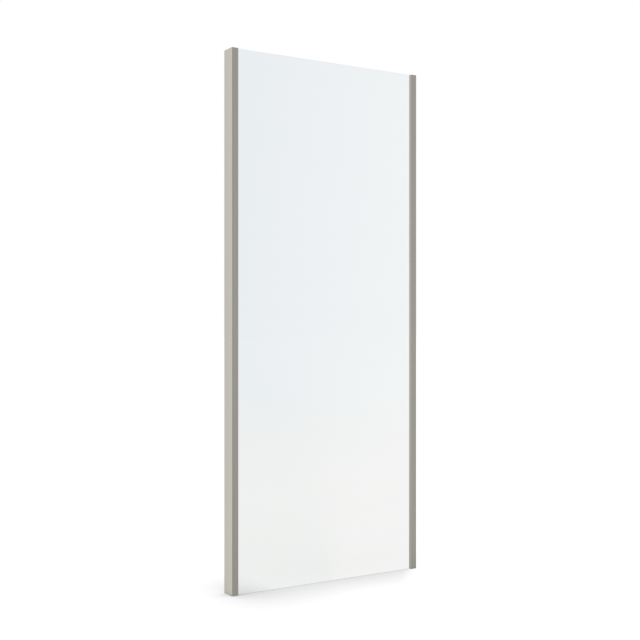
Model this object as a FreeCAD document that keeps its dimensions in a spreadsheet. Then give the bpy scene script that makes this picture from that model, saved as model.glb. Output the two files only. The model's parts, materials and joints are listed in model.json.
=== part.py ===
"""Pull-out closet mirror: a framed glass mirror that slides out of a wardrobe and swivels.

Frame of reference: X runs along the mirror's width, with the pull edge at -X; Y runs through
its depth, with the glass facing -Y and the wardrobe's side panel at +Y; Z is up. The origin is
the middle of the bottom of the closed mirror. All sizes are millimetres.
"""
import FreeCAD, Part
import math
import os
import re

import Sketcher
from FreeCAD import Placement, Rotation, Vector

SHEET = "Sizes"
SIZES = [
    # mirror frame
    ("frame_width", 500, "over the two side profiles"),
    ("frame_height", 1200, "over the end caps"),
    ("profile_width", 16, "front face of a side profile"),
    ("profile_depth", 38, "side face of a side profile"),
    ("profile_wall", 1.6, "wall of the extrusion"),
    ("profile_corner", 0.8, "radius of its outer corners"),
    ("lip_depth", 4, "how far the profile stands in front of the glass"),
    ("slot_depth", 7, "how deep the glass slot is"),
    ("screw_channel_depth", 8, "groove that takes the thread-forming screws"),
    ("screw_channel_width", 3.6, ""),
    ("screw_channel_back", 16, "its centre line, from the back of the profile"),
    ("cap_thickness", 1.5, "end cap plate"),
    ("cap_plug_length", 8, "legs that push into the profile"),
    ("cap_play", 0.15, "round those legs"),
    # glazing
    ("glass_thickness", 4, ""),
    ("glass_arris", 0.5, "ground edge of the glass"),
    ("glass_end_gap", 0.2, "glass inside the ends of the frame"),
    ("film_thickness", 0.3, "safety film, which bonds the glass to its back panel"),
    ("back_panel_thickness", 3, ""),
    ("glazing_play", 0.4, "left over in the slot"),
    ("glazing_side_play", 0.5, "at the bottom of the slot"),
    ("pad_thickness", 0.8, "rubber pads that the back panel stands on"),
    ("pad_length", 40, ""),
    ("pad_spacing", 300, ""),
    # cross rails and their brackets
    ("rail_height", 30, ""),
    ("rail_wall", 1.5, ""),
    ("rail_inset", 5, "rail's back, in front of the profile's back"),
    ("rail_end_gap", 0.2, "rail end to profile"),
    ("ledge_setback", 0.2, "ledge under the back panel, behind the film"),
    ("bracket_thickness", 2, ""),
    ("bracket_reach", 32, "along the rail"),
    ("bracket_height", 20, ""),
    ("bracket_play", 0.2, "bracket to back panel"),
    ("rail_screw_inset", 14, "rail screw, from the profile"),
    # swivel hinges
    ("hinge_space", 8.3, "between the frame's back and the slides"),
    ("hinge_inset", 12, "swivel axis, from the pull edge"),
    ("hinge_length", 80, ""),
    ("hinge_margin", 140, "hinge centres, from the ends of the frame"),
    ("leaf_thickness", 1.6, ""),
    ("leaf_reach", 30, "fixed leaf, along the upright"),
    ("leaf_screw_inset", 12, "fixed leaf's screws, from its free edge"),
    ("leaf_depth", 24, "moving leaf, into the frame"),
    ("leaf_screw_spacing", 28, ""),
    ("knuckle_gap", 1, "between knuckles, filled by a washer"),
    ("washer_thickness", 0.8, ""),
    ("pin_radius", 2, ""),
    ("pin_play", 0.05, "radial"),
    ("pin_head_radius", 3.2, ""),
    ("pin_head_height", 1, ""),
    # carrier
    ("upright_thickness", 3, ""),
    ("upright_gap", 0.85, "front upright clear of the turning knuckle"),
    ("upright_width", 34, "front upright"),
    ("upright_flange", 9, "stiffening return of the front upright"),
    ("upright_margin", 90, "ends of the front upright, from those of the frame"),
    ("window_width", 16, "lightening windows of the front upright"),
    ("window_height", 100, ""),
    ("window_bar_height", 50, "left between two windows"),
    ("rear_upright_width", 30, ""),
    ("rear_upright_margin", 26, "beyond the slides' centre lines"),
    ("rear_upright_inset", 4, "from the end of the inner slide members"),
    ("slide_screw_spacing", 14, "pair that holds an upright to a slide"),
    # magnetic catch
    ("catch_height", 26, ""),
    ("catch_width", 24, ""),
    ("catch_gap", 0.3, "magnet to strike plate"),
    ("catch_ear", 13, "beyond the housing, at each end"),
    ("catch_ear_thickness", 2, ""),
    ("catch_corner", 2, ""),
    ("magnet_width", 12, ""),
    ("magnet_height", 18, ""),
    ("magnet_depth", 4, ""),
    ("magnet_play", 0.1, ""),
    ("strike_thickness", 1.5, ""),
    # ball-bearing slides
    ("slide_inset", 25, "slide ends inside the frame's edges"),
    ("slide_margin", 250, "slide centre lines, from the ends of the frame"),
    ("slide_thickness", 12.7, ""),
    ("slide_height", 45, ""),
    ("slide_wall", 1.2, "webs of the three members"),
    ("slide_corner", 1.2, "rolled corner of the cabinet member"),
    ("ball_radius", 2, ""),
    ("ball_play", 0.1, "ball in its groove"),
    ("groove_bite", 1.2, "depth of a ball groove"),
    ("outer_flange_reach", 11, "cabinet member, from the panel"),
    ("outer_flange", 3, ""),
    ("middle_flange_reach", 10.2, ""),
    ("middle_flange", 3.6, ""),
    ("inner_flange_reach", 7.6, "inner member, back from its face"),
    ("inner_flange", 2.4, ""),
    ("race_space", 1.8, "between two flanges, where the balls run"),
    ("ball_line", 7.6, "ball centres, from the panel"),
    ("web_gap", 0.3, "outer web to cage"),
    ("cage_web", 0.6, ""),
    ("cage_flange", 0.8, ""),
    ("cage_to_member", 0.4, ""),
    ("cage_length", 180, ""),
    ("cage_end_length", 18, "beyond the centres of the end balls"),
    ("cage_window_play", 0.12, ""),
    ("ball_count", 5, "in one row of one cage"),
    ("buffer_length", 6, "rubber stop at the inner end"),
    ("buffer_play", 0.3, ""),
    # fasteners and holes
    ("screw_radius", 1.75, ""),
    ("screw_head_radius", 3.4, ""),
    ("screw_head_height", 2.1, ""),
    ("thread_play", 0.05, "screw in the hole that it cuts"),
    ("hole_play", 0.25, "screw in a clearance hole"),
    ("frame_screw_length", 8, "into the profile's screw channel"),
    ("rail_screw_length", 4.5, "rail to bracket"),
    ("strike_screw_length", 3.5, ""),
    ("slide_screw_length", 6, "upright to slide"),
    ("leaf_screw_length", 4.5, "fixed leaf to upright"),
    ("ear_screw_length", 5, "catch to rear upright"),
    ("mount_hole_radius", 2.25, "in the cabinet members"),
    ("mount_hole_inset", 49, "end holes, from the ends of the slide"),
    ("access_width", 12, "screwdriver openings in the other members"),
    ("access_height", 10, ""),
]
ALIASES = {name for name, _, _ in SIZES}

# places worked out from the sizes, written as expressions of them
DEPTH = "(profile_depth + hinge_space + slide_thickness)"
FRONT = f"(-{DEPTH} / 2)"
BACK = f"({FRONT} + profile_depth)"
SLIDE_FACE = f"({BACK} + hinge_space)"
PANEL = f"({DEPTH} / 2)"
AXIS_X = "(-frame_width / 2 + hinge_inset)"
AXIS_Y = f"({BACK} + hinge_space / 2)"
INNER_FACE = "(frame_width / 2 - profile_width)"
GLAZING = "(glass_thickness + film_thickness + back_panel_thickness)"
SLOT_BACK = f"(lip_depth + {GLAZING} + glazing_play)"
GLASS_FRONT = f"({FRONT} + lip_depth)"
GLASS_BACK = f"({GLASS_FRONT} + glass_thickness)"
FILM_BACK = f"({GLASS_BACK} + film_thickness)"
PANEL_BACK = f"({FILM_BACK} + back_panel_thickness)"
CHANNEL_LINE = "(profile_depth - screw_channel_back)"
RAIL_BACK = f"({BACK} - rail_inset)"
UPRIGHT_FRONT = f"({SLIDE_FACE} - upright_thickness)"
LEAF_FRONT = f"({UPRIGHT_FRONT} - leaf_thickness)"
KNUCKLE = "(pin_radius + pin_play + leaf_thickness)"
KNUCKLE_LENGTH = "((hinge_length - 2 * knuckle_gap) / 3)"
UPRIGHT_X = f"({AXIS_X} + {KNUCKLE} + upright_gap)"
LEAF_SCREW_X = f"({UPRIGHT_X} + leaf_reach - leaf_screw_inset)"
SLIDE_LENGTH = "(frame_width - 2 * slide_inset)"
SLIDE_START = f"(-{SLIDE_LENGTH} / 2)"
MEMBER_LENGTH = f"({SLIDE_LENGTH} - buffer_length)"
MEMBER_END = f"({SLIDE_START} + {MEMBER_LENGTH})"
MEMBER_MIDDLE = f"({SLIDE_START} + {MEMBER_LENGTH} / 2)"
REAR_UPRIGHT_END = f"({MEMBER_END} - rear_upright_inset)"
REAR_UPRIGHT_X = f"({REAR_UPRIGHT_END} - rear_upright_width / 2)"
FRONT_SCREW_X = f"(({SLIDE_START} + {UPRIGHT_X} + upright_width) / 2)"
STRIKE_BACK = f"({RAIL_BACK} + strike_thickness)"
CATCH_FRONT = f"({STRIKE_BACK} + catch_gap)"
MID_HEIGHT = "(frame_height / 2)"
EAR_SCREW = "(catch_height / 2 + catch_ear / 2)"
OUTER_RACE = "(slide_height / 2 - outer_flange + groove_bite - ball_radius - ball_play)"
MIDDLE_TOP = "(slide_height / 2 - outer_flange - race_space)"
MIDDLE_UNDER = f"({MIDDLE_TOP} - middle_flange)"
INNER_RACE = f"({MIDDLE_UNDER} + groove_bite - ball_radius - ball_play)"
INNER_TOP = f"({MIDDLE_UNDER} - race_space)"
OUTER_CAGE_WEB = "(slide_wall + web_gap)"
MIDDLE_WEB = f"({OUTER_CAGE_WEB} + cage_web + cage_to_member)"
INNER_CAGE_WEB = f"({MIDDLE_WEB} + slide_wall + cage_to_member)"
MOUNT_REACH = f"({SLIDE_LENGTH} / 2 - mount_hole_inset)"
MOUNT_X = [f"-{MOUNT_REACH}", "0", MOUNT_REACH]

SIDES = {"left": -1, "right": 1}
SLIDES = {"lower": "slide_margin", "upper": "(frame_height - slide_margin)"}
HINGES = {"lower": "hinge_margin", "upper": "(frame_height - hinge_margin)"}
RAILS = {
    "bottom": "(rail_height / 2)",
    "middle": MID_HEIGHT,
    "top": "(frame_height - rail_height / 2)",
}
X, Y, Z = Vector(1, 0, 0), Vector(0, 1, 0), Vector(0, 0, 1)

WINDOWS = 4  # lightening windows of the front upright
LEAF_SCREWS = (-1, 0, 1)  # screws of a hinge leaf, counted up from its middle

# screws, their holes and the balls are many and small, so they are drawn with a few flats
FLATS = {"shank": 6, "head": 8, "hole": 8, "washer": 12, "ball": 8}

# the points of a sketched line or circle, as the sketcher numbers them
POINT = {"start": 1, "end": 2, "centre": 3}
SAME_PLACE = 1e-4

doc = FreeCAD.newDocument("pull_out_mirror")
sheet = doc.addObject("Spreadsheet::Sheet", SHEET)
subparts = []


# ---------------------------------------------------------------- sizes
def fill_sheet():
    """One row a size: its name, its value under that alias, and what it is."""
    for row, (name, size, note) in enumerate(SIZES, start=1):
        sheet.set(f"A{row}", name)
        sheet.set(f"B{row}", str(size))
        sheet.setAlias(f"B{row}", name)
        sheet.set(f"C{row}", note)
    doc.recompute()


def bound(expression):
    """The expression with each size's name written as a reference to the sheet."""
    def refer(match):
        word = match.group(0)
        return f"{SHEET}.{word}" if word in ALIASES else word
    return re.sub(r"[a-z][a-z_]*", refer, expression)


def value(expression):
    """The expression's number now."""
    return float(sheet.evalExpression(bound(expression)))


def bind(thing, **expressions):
    for prop, expression in expressions.items():
        thing.setExpression(prop, bound(expression))


# ---------------------------------------------------------------- sketches
def new_body(label):
    body = doc.addObject("PartDesign::Body", label)
    body.Label = label
    subparts.append(body)
    return body


def new_sketch(body, plane, offset):
    """A sketch on one of the body's origin planes, moved to a place along X, Y or Z."""
    sketch = body.newObject("Sketcher::SketchObject", f"{body.Label}_outline")
    origin_plane = [f for f in body.Origin.OriginFeatures if f.Role == f"{plane}_Plane"][0]
    sketch.AttachmentSupport = [(origin_plane, "")]
    sketch.MapMode = "FlatFace"
    turned = "-" if plane == "XZ" else ""
    sketch.setExpression("AttachmentOffset.Base.z", bound(f"{turned}({offset})"))
    return sketch


def pin_point(sketch, geometry, corner, place):
    """Fixes one point of the sketch at a place given by two expressions."""
    for kind, expression in zip(("DistanceX", "DistanceY"), place):
        number = value(expression)
        index = sketch.addConstraint(Sketcher.Constraint(kind, -1, 1, geometry, corner, number))
        sketch.setExpression(f"Constraints[{index}]", bound(expression))


def add_polygon(sketch, places):
    """A closed outline through places, each a pair of expressions."""
    points = [Vector(value(u), value(v), 0) for u, v in places]
    first = sketch.GeometryCount
    for start, end in zip(points, points[1:] + points[:1]):
        sketch.addGeometry(Part.LineSegment(start, end))
    for i, place in enumerate(places):
        following = (i + 1) % len(places)
        joined = (first + i, POINT["end"], first + following, POINT["start"])
        sketch.addConstraint(Sketcher.Constraint("Coincident", *joined))
        pin_point(sketch, first + i, POINT["start"], place)


def add_rectangle(sketch, low_u, high_u, low_v, high_v):
    add_polygon(sketch, [(low_u, low_v), (high_u, low_v), (high_u, high_v), (low_u, high_v)])


def add_circle(sketch, place, radius):
    centre = Vector(value(place[0]), value(place[1]), 0)
    circle = sketch.addGeometry(Part.Circle(centre, Z, value(radius)))
    pin_point(sketch, circle, POINT["centre"], place)
    index = sketch.addConstraint(Sketcher.Constraint("Radius", circle, value(radius)))
    sketch.setExpression(f"Constraints[{index}]", bound(radius))


def over_flats(radius, flats):
    """Radius of the corners when the flats touch the circle of this radius."""
    return f"({radius}) / {math.cos(math.pi / flats):.6f}"


def add_screw_hole(sketch, place, radius):
    """A hole with flats, each touching the circle of this radius."""
    corner = over_flats(radius, FLATS["hole"])
    half_flat = math.pi / FLATS["hole"]
    corners = []
    for i in range(FLATS["hole"]):
        turn = half_flat + 2 * half_flat * i
        across, up = f"{corner} * {math.cos(turn):.6f}", f"{corner} * {math.sin(turn):.6f}"
        corners.append((f"{place[0]} + ({across})", f"{place[1]} + ({up})"))
    add_polygon(sketch, corners)


# ---------------------------------------------------------------- features
def pad(body, sketch, length, reverse=False):
    """Adds material: up from an XY sketch, to +X from a YZ one, to the front from an XZ one."""
    feature = body.newObject("PartDesign::Pad", f"{body.Label}_pad")
    feature.Profile = sketch
    feature.Reversed = reverse
    bind(feature, Length=length)
    doc.recompute()
    return feature


def pocket(body, sketch, length=None, reverse=False):
    """Cuts through all, or to a length: the way opposite to pad's. It has to take material away."""
    before = body.Shape.Volume
    feature = body.newObject("PartDesign::Pocket", f"{body.Label}_pocket")
    feature.Profile = sketch
    feature.Reversed = reverse
    if length is None:
        feature.Type = "ThroughAll"
    else:
        bind(feature, Length=length)
    doc.recompute()
    if body.Shape.Volume >= before:
        raise ValueError(f"{feature.Name} cuts nothing")
    return feature


def repeat(body, feature, axis, length, count):
    """Copies of a feature in a row along one of the body's axes."""
    before = body.Shape.Volume
    pattern = body.newObject("PartDesign::LinearPattern", f"{body.Label}_row")
    pattern.Originals = [feature]
    direction = [f for f in body.Origin.OriginFeatures if f.Role == f"{axis}_Axis"][0]
    pattern.Direction = (direction, [""])
    bind(pattern, Length=length, Occurrences=count)
    body.Tip = pattern
    doc.recompute()
    if body.Shape.Volume == before:
        raise ValueError(f"{pattern.Name} repeats nothing")
    return pattern


def edges_along(feature, axis, places):
    """Names of the straight edges parallel to an axis that pass through places."""
    across = [i for i, along in enumerate(axis) if not along]
    wanted = [tuple(value(expression) for expression in place) for place in places]
    names = []
    for number, edge in enumerate(feature.Shape.Edges, start=1):
        straight = isinstance(edge.Curve, Part.Line)
        if not straight or edge.tangentAt(edge.FirstParameter).cross(axis).Length > SAME_PLACE:
            continue
        here = edge.valueAt(edge.FirstParameter)
        if any(math.dist([here[i] for i in across], place) < SAME_PLACE for place in wanted):
            names.append(f"Edge{number}")
    return names


def dress(body, kind, feature, names, size):
    """A fillet or a chamfer on named edges."""
    dressed = body.newObject(f"PartDesign::{kind}", f"{body.Label}_{kind.lower()}")
    dressed.Base = (feature, names)
    bind(dressed, **{"Radius" if kind == "Fillet" else "Size": size})
    doc.recompute()
    return dressed


# ---------------------------------------------------------------- primitives
def place_at(thing, place, turn=None):
    """Puts a primitive at three expressions, turned so that its Z lies along turn."""
    if turn is not None:
        thing.Placement = Placement(Vector(), Rotation(Z, turn))
    for axis, expression in zip("xyz", place):
        thing.setExpression(f"Placement.Base.{axis}", bound(expression))


def cylinder(name, place, turn, radius, height):
    made = doc.addObject("Part::Cylinder", name)
    bind(made, Radius=radius, Height=height)
    place_at(made, place, turn)
    return made


def prism(name, place, turn, flats, radius, height):
    """A cylinder with flats, its corners on the circle of this radius."""
    made = doc.addObject("Part::Prism", name)
    made.Polygon = flats
    bind(made, Circumradius=radius, Height=height)
    place_at(made, place, turn)
    return made


def faceted_ball(radius):
    """A ball with flats: rings of corners from pole to pole, all on the sphere of this radius."""
    meridians = FLATS["ball"]
    rings = meridians // 2
    corners = []
    for ring in range(1, rings):
        down = math.pi * ring / rings
        level, wide = Z * math.cos(down), math.sin(down)
        around = [2 * math.pi * i / meridians for i in range(meridians)]
        corners.append([(level + (X * math.cos(a) + Y * math.sin(a)) * wide) * radius for a in around])
    faces = []
    for i in range(meridians):
        j = (i + 1) % meridians
        faces.append([Z * radius, corners[0][i], corners[0][j]])
        faces.append([corners[-1][j], corners[-1][i], -Z * radius])
        for upper, lower in zip(corners, corners[1:]):
            faces.append([upper[i], lower[i], lower[j], upper[j]])
    shell = Part.makeShell([Part.Face(Part.makePolygon(face + face[:1])) for face in faces])
    return Part.makeSolid(shell)


def group(label, things):
    """Separate solids of one kind under one name."""
    made = doc.addObject("Part::Compound", label)
    made.Label = label
    made.Links = things
    subparts.append(made)
    return made


def screws(label, places, direction, length):
    """Pan-head screws, each from its seat along its direction."""
    made = []
    for number, place in enumerate(places):
        way = direction[number] if isinstance(direction, list) else direction
        shank = prism(f"{label}_shank_{number}", place, way, FLATS["shank"], "screw_radius", length)
        head = prism(f"{label}_head_{number}", place, -way, FLATS["head"],
                     "screw_head_radius", "screw_head_height")
        screw = doc.addObject("Part::Fuse", f"{label}_{number}")
        screw.Base, screw.Tool = shank, head
        made.append(screw)
    return group(label, made)


# ---------------------------------------------------------------- mirror frame
def from_corner(side, across, back):
    """A place in the section of a side profile, from its outer front corner."""
    sign = "-" if side < 0 else ""
    return f"{sign}(frame_width / 2 - ({across}))", f"{FRONT} + {back}"


def outer_corners(side):
    return [
        from_corner(side, across, back)
        for across in ("0", "profile_width") for back in ("0", "profile_depth")
    ]


def profile_outline(side, with_channel):
    """The extrusion's outside, with the glass slot and the screw channel open to the inside."""
    slot = [
        ("profile_width", "lip_depth"), ("profile_width - slot_depth", "lip_depth"),
        ("profile_width - slot_depth", SLOT_BACK), ("profile_width", SLOT_BACK),
    ]
    low = f"{CHANNEL_LINE} - screw_channel_width / 2"
    high = f"{CHANNEL_LINE} + screw_channel_width / 2"
    channel = [
        ("profile_width", low), ("profile_width - screw_channel_depth", low),
        ("profile_width - screw_channel_depth", high), ("profile_width", high),
    ]
    outline = [("0", "0"), ("profile_width", "0")] + slot + (channel if with_channel else [])
    outline += [("profile_width", "profile_depth"), ("0", "profile_depth")]
    return [from_corner(side, *point) for point in outline]


def profile_hollow(side):
    """The one chamber of the extrusion, a wall's thickness inside its outline."""
    slot_wall = "profile_width - slot_depth - profile_wall"
    channel_wall = "profile_width - screw_channel_depth - profile_wall"
    inside = "profile_width - profile_wall"
    slot_end = f"{SLOT_BACK} + profile_wall"
    low = f"{CHANNEL_LINE} - screw_channel_width / 2 - profile_wall"
    high = f"{CHANNEL_LINE} + screw_channel_width / 2 + profile_wall"
    end = "profile_depth - profile_wall"
    hollow = [
        ("profile_wall", "profile_wall"), (slot_wall, "profile_wall"), (slot_wall, slot_end),
        (inside, slot_end), (inside, low), (channel_wall, low), (channel_wall, high),
        (inside, high), (inside, end), ("profile_wall", end),
    ]
    return [from_corner(side, *point) for point in hollow]


def side_profile(name, side):
    body = new_body(f"profile_{name}")
    outline = new_sketch(body, "XY", "cap_thickness")
    add_polygon(outline, profile_outline(side, True))
    add_polygon(outline, profile_hollow(side))
    bar = pad(body, outline, "frame_height - 2 * cap_thickness")
    dress(body, "Fillet", bar, edges_along(bar, Z, outer_corners(side)), "profile_corner")


def end_cap(end, name, side):
    """A thin plate with the profile's outline and two legs that push into its chamber."""
    top = end == "top"
    body = new_body(f"end_cap_{end}_{name}")
    outline = new_sketch(body, "XY", "frame_height - cap_thickness" if top else "0")
    add_polygon(outline, profile_outline(side, False))
    plate = pad(body, outline, "cap_thickness")
    plate = dress(body, "Fillet", plate, edges_along(plate, Z, outer_corners(side)), "profile_corner")
    legs = new_sketch(body, "XY", "frame_height - cap_thickness" if top else "cap_thickness")
    leg_low = "(profile_wall + cap_play)"
    channel_end = f"({CHANNEL_LINE} + screw_channel_width / 2)"
    spans = [
        ("profile_width - slot_depth", leg_low, SLOT_BACK),
        ("profile_width", f"{channel_end} + {leg_low}", f"profile_depth - {leg_low}"),
    ]
    for reach, front, back in spans:
        inner = f"{reach} - {leg_low}"
        add_polygon(legs, [
            from_corner(side, leg_low, front), from_corner(side, inner, front),
            from_corner(side, inner, back), from_corner(side, leg_low, back),
        ])
    pad(body, legs, "cap_plug_length", reverse=top)


def glazing_sheet(label, back, thickness, bottom):
    """A sheet held in the slots of the two profiles, from its bottom to the top of the frame."""
    body = new_body(label)
    outline = new_sketch(body, "XZ", back)
    half = f"({INNER_FACE} + slot_depth - glazing_side_play)"
    add_rectangle(outline, f"-{half}", half, bottom, "frame_height - glass_end_gap")
    return body, pad(body, outline, thickness)


def glazing():
    """The glass is bonded by its film to the back panel, which stands on the bottom rail's ledge, so
    the glass hides the ledge and runs over the whole height of the frame."""
    body, sheet_pad = glazing_sheet("mirror_glass", GLASS_BACK, "glass_thickness", "glass_end_gap")
    face = [
        f"Face{i}" for i, f in enumerate(sheet_pad.Shape.Faces, start=1)
        if abs(f.CenterOfMass.y - value(GLASS_FRONT)) < SAME_PLACE
    ]
    dress(body, "Chamfer", sheet_pad, face, "glass_arris")
    glazing_sheet("safety_film", FILM_BACK, "film_thickness", "glass_end_gap")
    glazing_sheet("back_panel", PANEL_BACK, "back_panel_thickness", "rail_wall + pad_thickness")


def setting_pads():
    pads = []
    for number, side in enumerate(SIDES.values()):
        pad_box = doc.addObject("Part::Box", f"setting_pad_{number}")
        bind(pad_box, Length="pad_length", Width="back_panel_thickness - ledge_setback",
             Height="pad_thickness")
        place_at(pad_box, (f"{side} * pad_spacing / 2 - pad_length / 2",
                           f"{FILM_BACK} + ledge_setback", "rail_wall"))
        pads.append(pad_box)
    group("glass_setting_pads", pads)


def cross_rail(name, centre):
    """A channel open to the front, its flanges on the back panel. The bottom one's lower flange
    runs on under the back panel as a ledge."""
    body = new_body(f"rail_{name}")
    outline = new_sketch(body, "YZ", f"-({INNER_FACE} - rail_end_gap)")
    low, high = f"{centre} - rail_height / 2", f"{centre} + rail_height / 2"
    ledge = f"{FILM_BACK} + ledge_setback" if name == "bottom" else PANEL_BACK
    add_polygon(outline, [
        (ledge, low), (RAIL_BACK, low), (RAIL_BACK, high), (PANEL_BACK, high),
        (PANEL_BACK, f"{high} - rail_wall"), (f"{RAIL_BACK} - rail_wall", f"{high} - rail_wall"),
        (f"{RAIL_BACK} - rail_wall", f"{low} + rail_wall"), (ledge, f"{low} + rail_wall"),
    ])
    pad(body, outline, f"2 * ({INNER_FACE} - rail_end_gap)")
    holes = new_sketch(body, "XZ", f"{RAIL_BACK} - rail_wall")
    for side in SIDES.values():
        add_screw_hole(holes, (rail_screw_x(side), centre), "screw_radius + hole_play")
    if name == "middle":
        for sign in ("-", "+"):
            add_screw_hole(holes, (REAR_UPRIGHT_X, f"{centre} {sign} {EAR_SCREW}"),
                           "screw_radius + thread_play")
    pocket(body, holes)


def rail_screw_x(side):
    return f"{side} * ({INNER_FACE} - rail_screw_inset)"


def rail_bracket(name, centre, side_name, side):
    """An angle screwed to the profile's channel; the rail goes over it and is screwed from behind."""
    body = new_body(f"bracket_{name}_{side_name}")
    outline = new_sketch(body, "XY", f"{centre} - bracket_height / 2")
    back = f"({RAIL_BACK} - rail_wall)"
    front = f"({PANEL_BACK} + bracket_play)"
    corners = [
        (INNER_FACE, front), (INNER_FACE, back), (f"({INNER_FACE} - bracket_reach)", back),
        (f"({INNER_FACE} - bracket_reach)", f"{back} - bracket_thickness"),
        (f"({INNER_FACE} - bracket_thickness)", f"{back} - bracket_thickness"),
        (f"({INNER_FACE} - bracket_thickness)", front),
    ]
    add_polygon(outline, [(f"{side} * {across}", deep) for across, deep in corners])
    pad(body, outline, "bracket_height")
    rail_hole = new_sketch(body, "XZ", f"{back} - bracket_thickness")
    add_screw_hole(rail_hole, (rail_screw_x(side), centre), "screw_radius + thread_play")
    pocket(body, rail_hole)
    profile_hole = new_sketch(body, "YZ", f"{side} * {INNER_FACE}")
    add_screw_hole(profile_hole, (f"{FRONT} + {CHANNEL_LINE}", centre), "screw_radius + hole_play")
    pocket(body, profile_hole, "bracket_thickness", reverse=side < 0)


def mirror_frame():
    for name, side in SIDES.items():
        side_profile(name, side)
        for end in ("top", "bottom"):
            end_cap(end, name, side)
    glazing()
    setting_pads()
    for name, centre in RAILS.items():
        cross_rail(name, centre)
        for side_name, side in SIDES.items():
            rail_bracket(name, centre, side_name, side)
    spots = [(side, centre) for centre in RAILS.values() for side in SIDES.values()]
    seat = f"({INNER_FACE} - bracket_thickness)"
    places = [(f"{side} * {seat}", f"{FRONT} + {CHANNEL_LINE}", centre) for side, centre in spots]
    screws("bracket_screws", places, [X * side for side, _ in spots], "frame_screw_length")
    places = [(rail_screw_x(side), RAIL_BACK, centre) for side, centre in spots]
    screws("rail_screws", places, -Y, "rail_screw_length")


# ---------------------------------------------------------------- swivel hinges
def moving_leaf(name, centre):
    """Screwed inside the pull-edge profile, and cranked round its back to the middle knuckle."""
    body = new_body(f"hinge_leaf_moving_{name}")
    face = f"(-{INNER_FACE})"
    plate = new_sketch(body, "YZ", face)
    add_rectangle(plate, f"{BACK} - leaf_depth", BACK,
                  f"{centre} - hinge_length / 2", f"{centre} + hinge_length / 2")
    pad(body, plate, "leaf_thickness")
    knuckle_low = f"{centre} - {KNUCKLE_LENGTH} / 2"
    crank = new_sketch(body, "XY", knuckle_low)
    inner = f"({AXIS_Y} - {KNUCKLE} + leaf_thickness)"
    outer = f"({AXIS_Y} - {KNUCKLE})"
    add_polygon(crank, [
        (f"{face} + leaf_thickness", f"{BACK} - leaf_thickness"), (f"{face} + leaf_thickness", inner),
        (AXIS_X, inner), (AXIS_X, outer), (face, outer), (face, f"{BACK} - leaf_thickness"),
    ])
    pad(body, crank, KNUCKLE_LENGTH)
    barrel = new_sketch(body, "XY", knuckle_low)
    add_circle(barrel, (AXIS_X, AXIS_Y), KNUCKLE)
    pad(body, barrel, KNUCKLE_LENGTH)
    bore = new_sketch(body, "XY", f"{centre} + hinge_length / 2")
    add_circle(bore, (AXIS_X, AXIS_Y), "pin_radius + pin_play")
    pocket(body, bore)
    holes = new_sketch(body, "YZ", f"{face} + leaf_thickness")
    for step in LEAF_SCREWS:
        add_screw_hole(holes, (f"{FRONT} + {CHANNEL_LINE}", f"{centre} + {step} * leaf_screw_spacing"),
                       "screw_radius + hole_play")
    pocket(body, holes)


def fixed_leaf(name, centre):
    """A plate on the front upright with a knuckle at each end of it."""
    body = new_body(f"hinge_leaf_fixed_{name}")
    plate = new_sketch(body, "XZ", UPRIGHT_FRONT)
    low, high = f"{centre} - hinge_length / 2", f"{centre} + hinge_length / 2"
    end = f"{UPRIGHT_X} + leaf_reach"
    add_polygon(plate, [
        (AXIS_X, low), (end, low), (end, high), (AXIS_X, high),
        (AXIS_X, f"{high} - {KNUCKLE_LENGTH}"), (UPRIGHT_X, f"{high} - {KNUCKLE_LENGTH}"),
        (UPRIGHT_X, f"{low} + {KNUCKLE_LENGTH}"), (AXIS_X, f"{low} + {KNUCKLE_LENGTH}"),
    ])
    pad(body, plate, "leaf_thickness")
    for start in (low, f"{high} - {KNUCKLE_LENGTH}"):
        barrel = new_sketch(body, "XY", start)
        add_circle(barrel, (AXIS_X, AXIS_Y), KNUCKLE)
        pad(body, barrel, KNUCKLE_LENGTH)
    bore = new_sketch(body, "XY", high)
    add_circle(bore, (AXIS_X, AXIS_Y), "pin_radius + pin_play")
    pocket(body, bore)
    holes = new_sketch(body, "XZ", LEAF_FRONT)
    for step in LEAF_SCREWS:
        add_screw_hole(holes, (LEAF_SCREW_X, f"{centre} + {step} * leaf_screw_spacing"),
                       "screw_radius + hole_play")
    pocket(body, holes)


def hinge_pin(name, centre):
    """A straight pin under a button head."""
    top = f"{centre} + hinge_length / 2"
    shank = cylinder(f"hinge_pin_{name}_shank", (AXIS_X, AXIS_Y, top), -Z, "pin_radius", "hinge_length")
    head = cylinder(f"hinge_pin_{name}_head", (AXIS_X, AXIS_Y, top), Z, "pin_head_radius", "pin_head_height")
    made = doc.addObject("Part::Fuse", f"hinge_pin_{name}")
    made.Label = f"hinge_pin_{name}"
    made.Base, made.Tool = shank, head
    subparts.append(made)


def hinge_washers():
    """A nylon washer in each gap between knuckles."""
    washers = []
    lift = f"({KNUCKLE_LENGTH} + knuckle_gap) / 2"
    for name, centre in HINGES.items():
        for sign in ("-", "+"):
            place = (AXIS_X, AXIS_Y, f"{centre} {sign} {lift} - washer_thickness / 2")
            tag = f"{name}_{'below' if sign == '-' else 'above'}"
            bore = over_flats("pin_radius + pin_play", FLATS["washer"])
            disc = prism(f"washer_disc_{tag}", place, Z, FLATS["washer"], KNUCKLE, "washer_thickness")
            hole = prism(f"washer_hole_{tag}", place, Z, FLATS["washer"], bore, "washer_thickness")
            ring = doc.addObject("Part::Cut", f"washer_{tag}")
            ring.Base, ring.Tool = disc, hole
            washers.append(ring)
    group("hinge_washers", washers)


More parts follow.
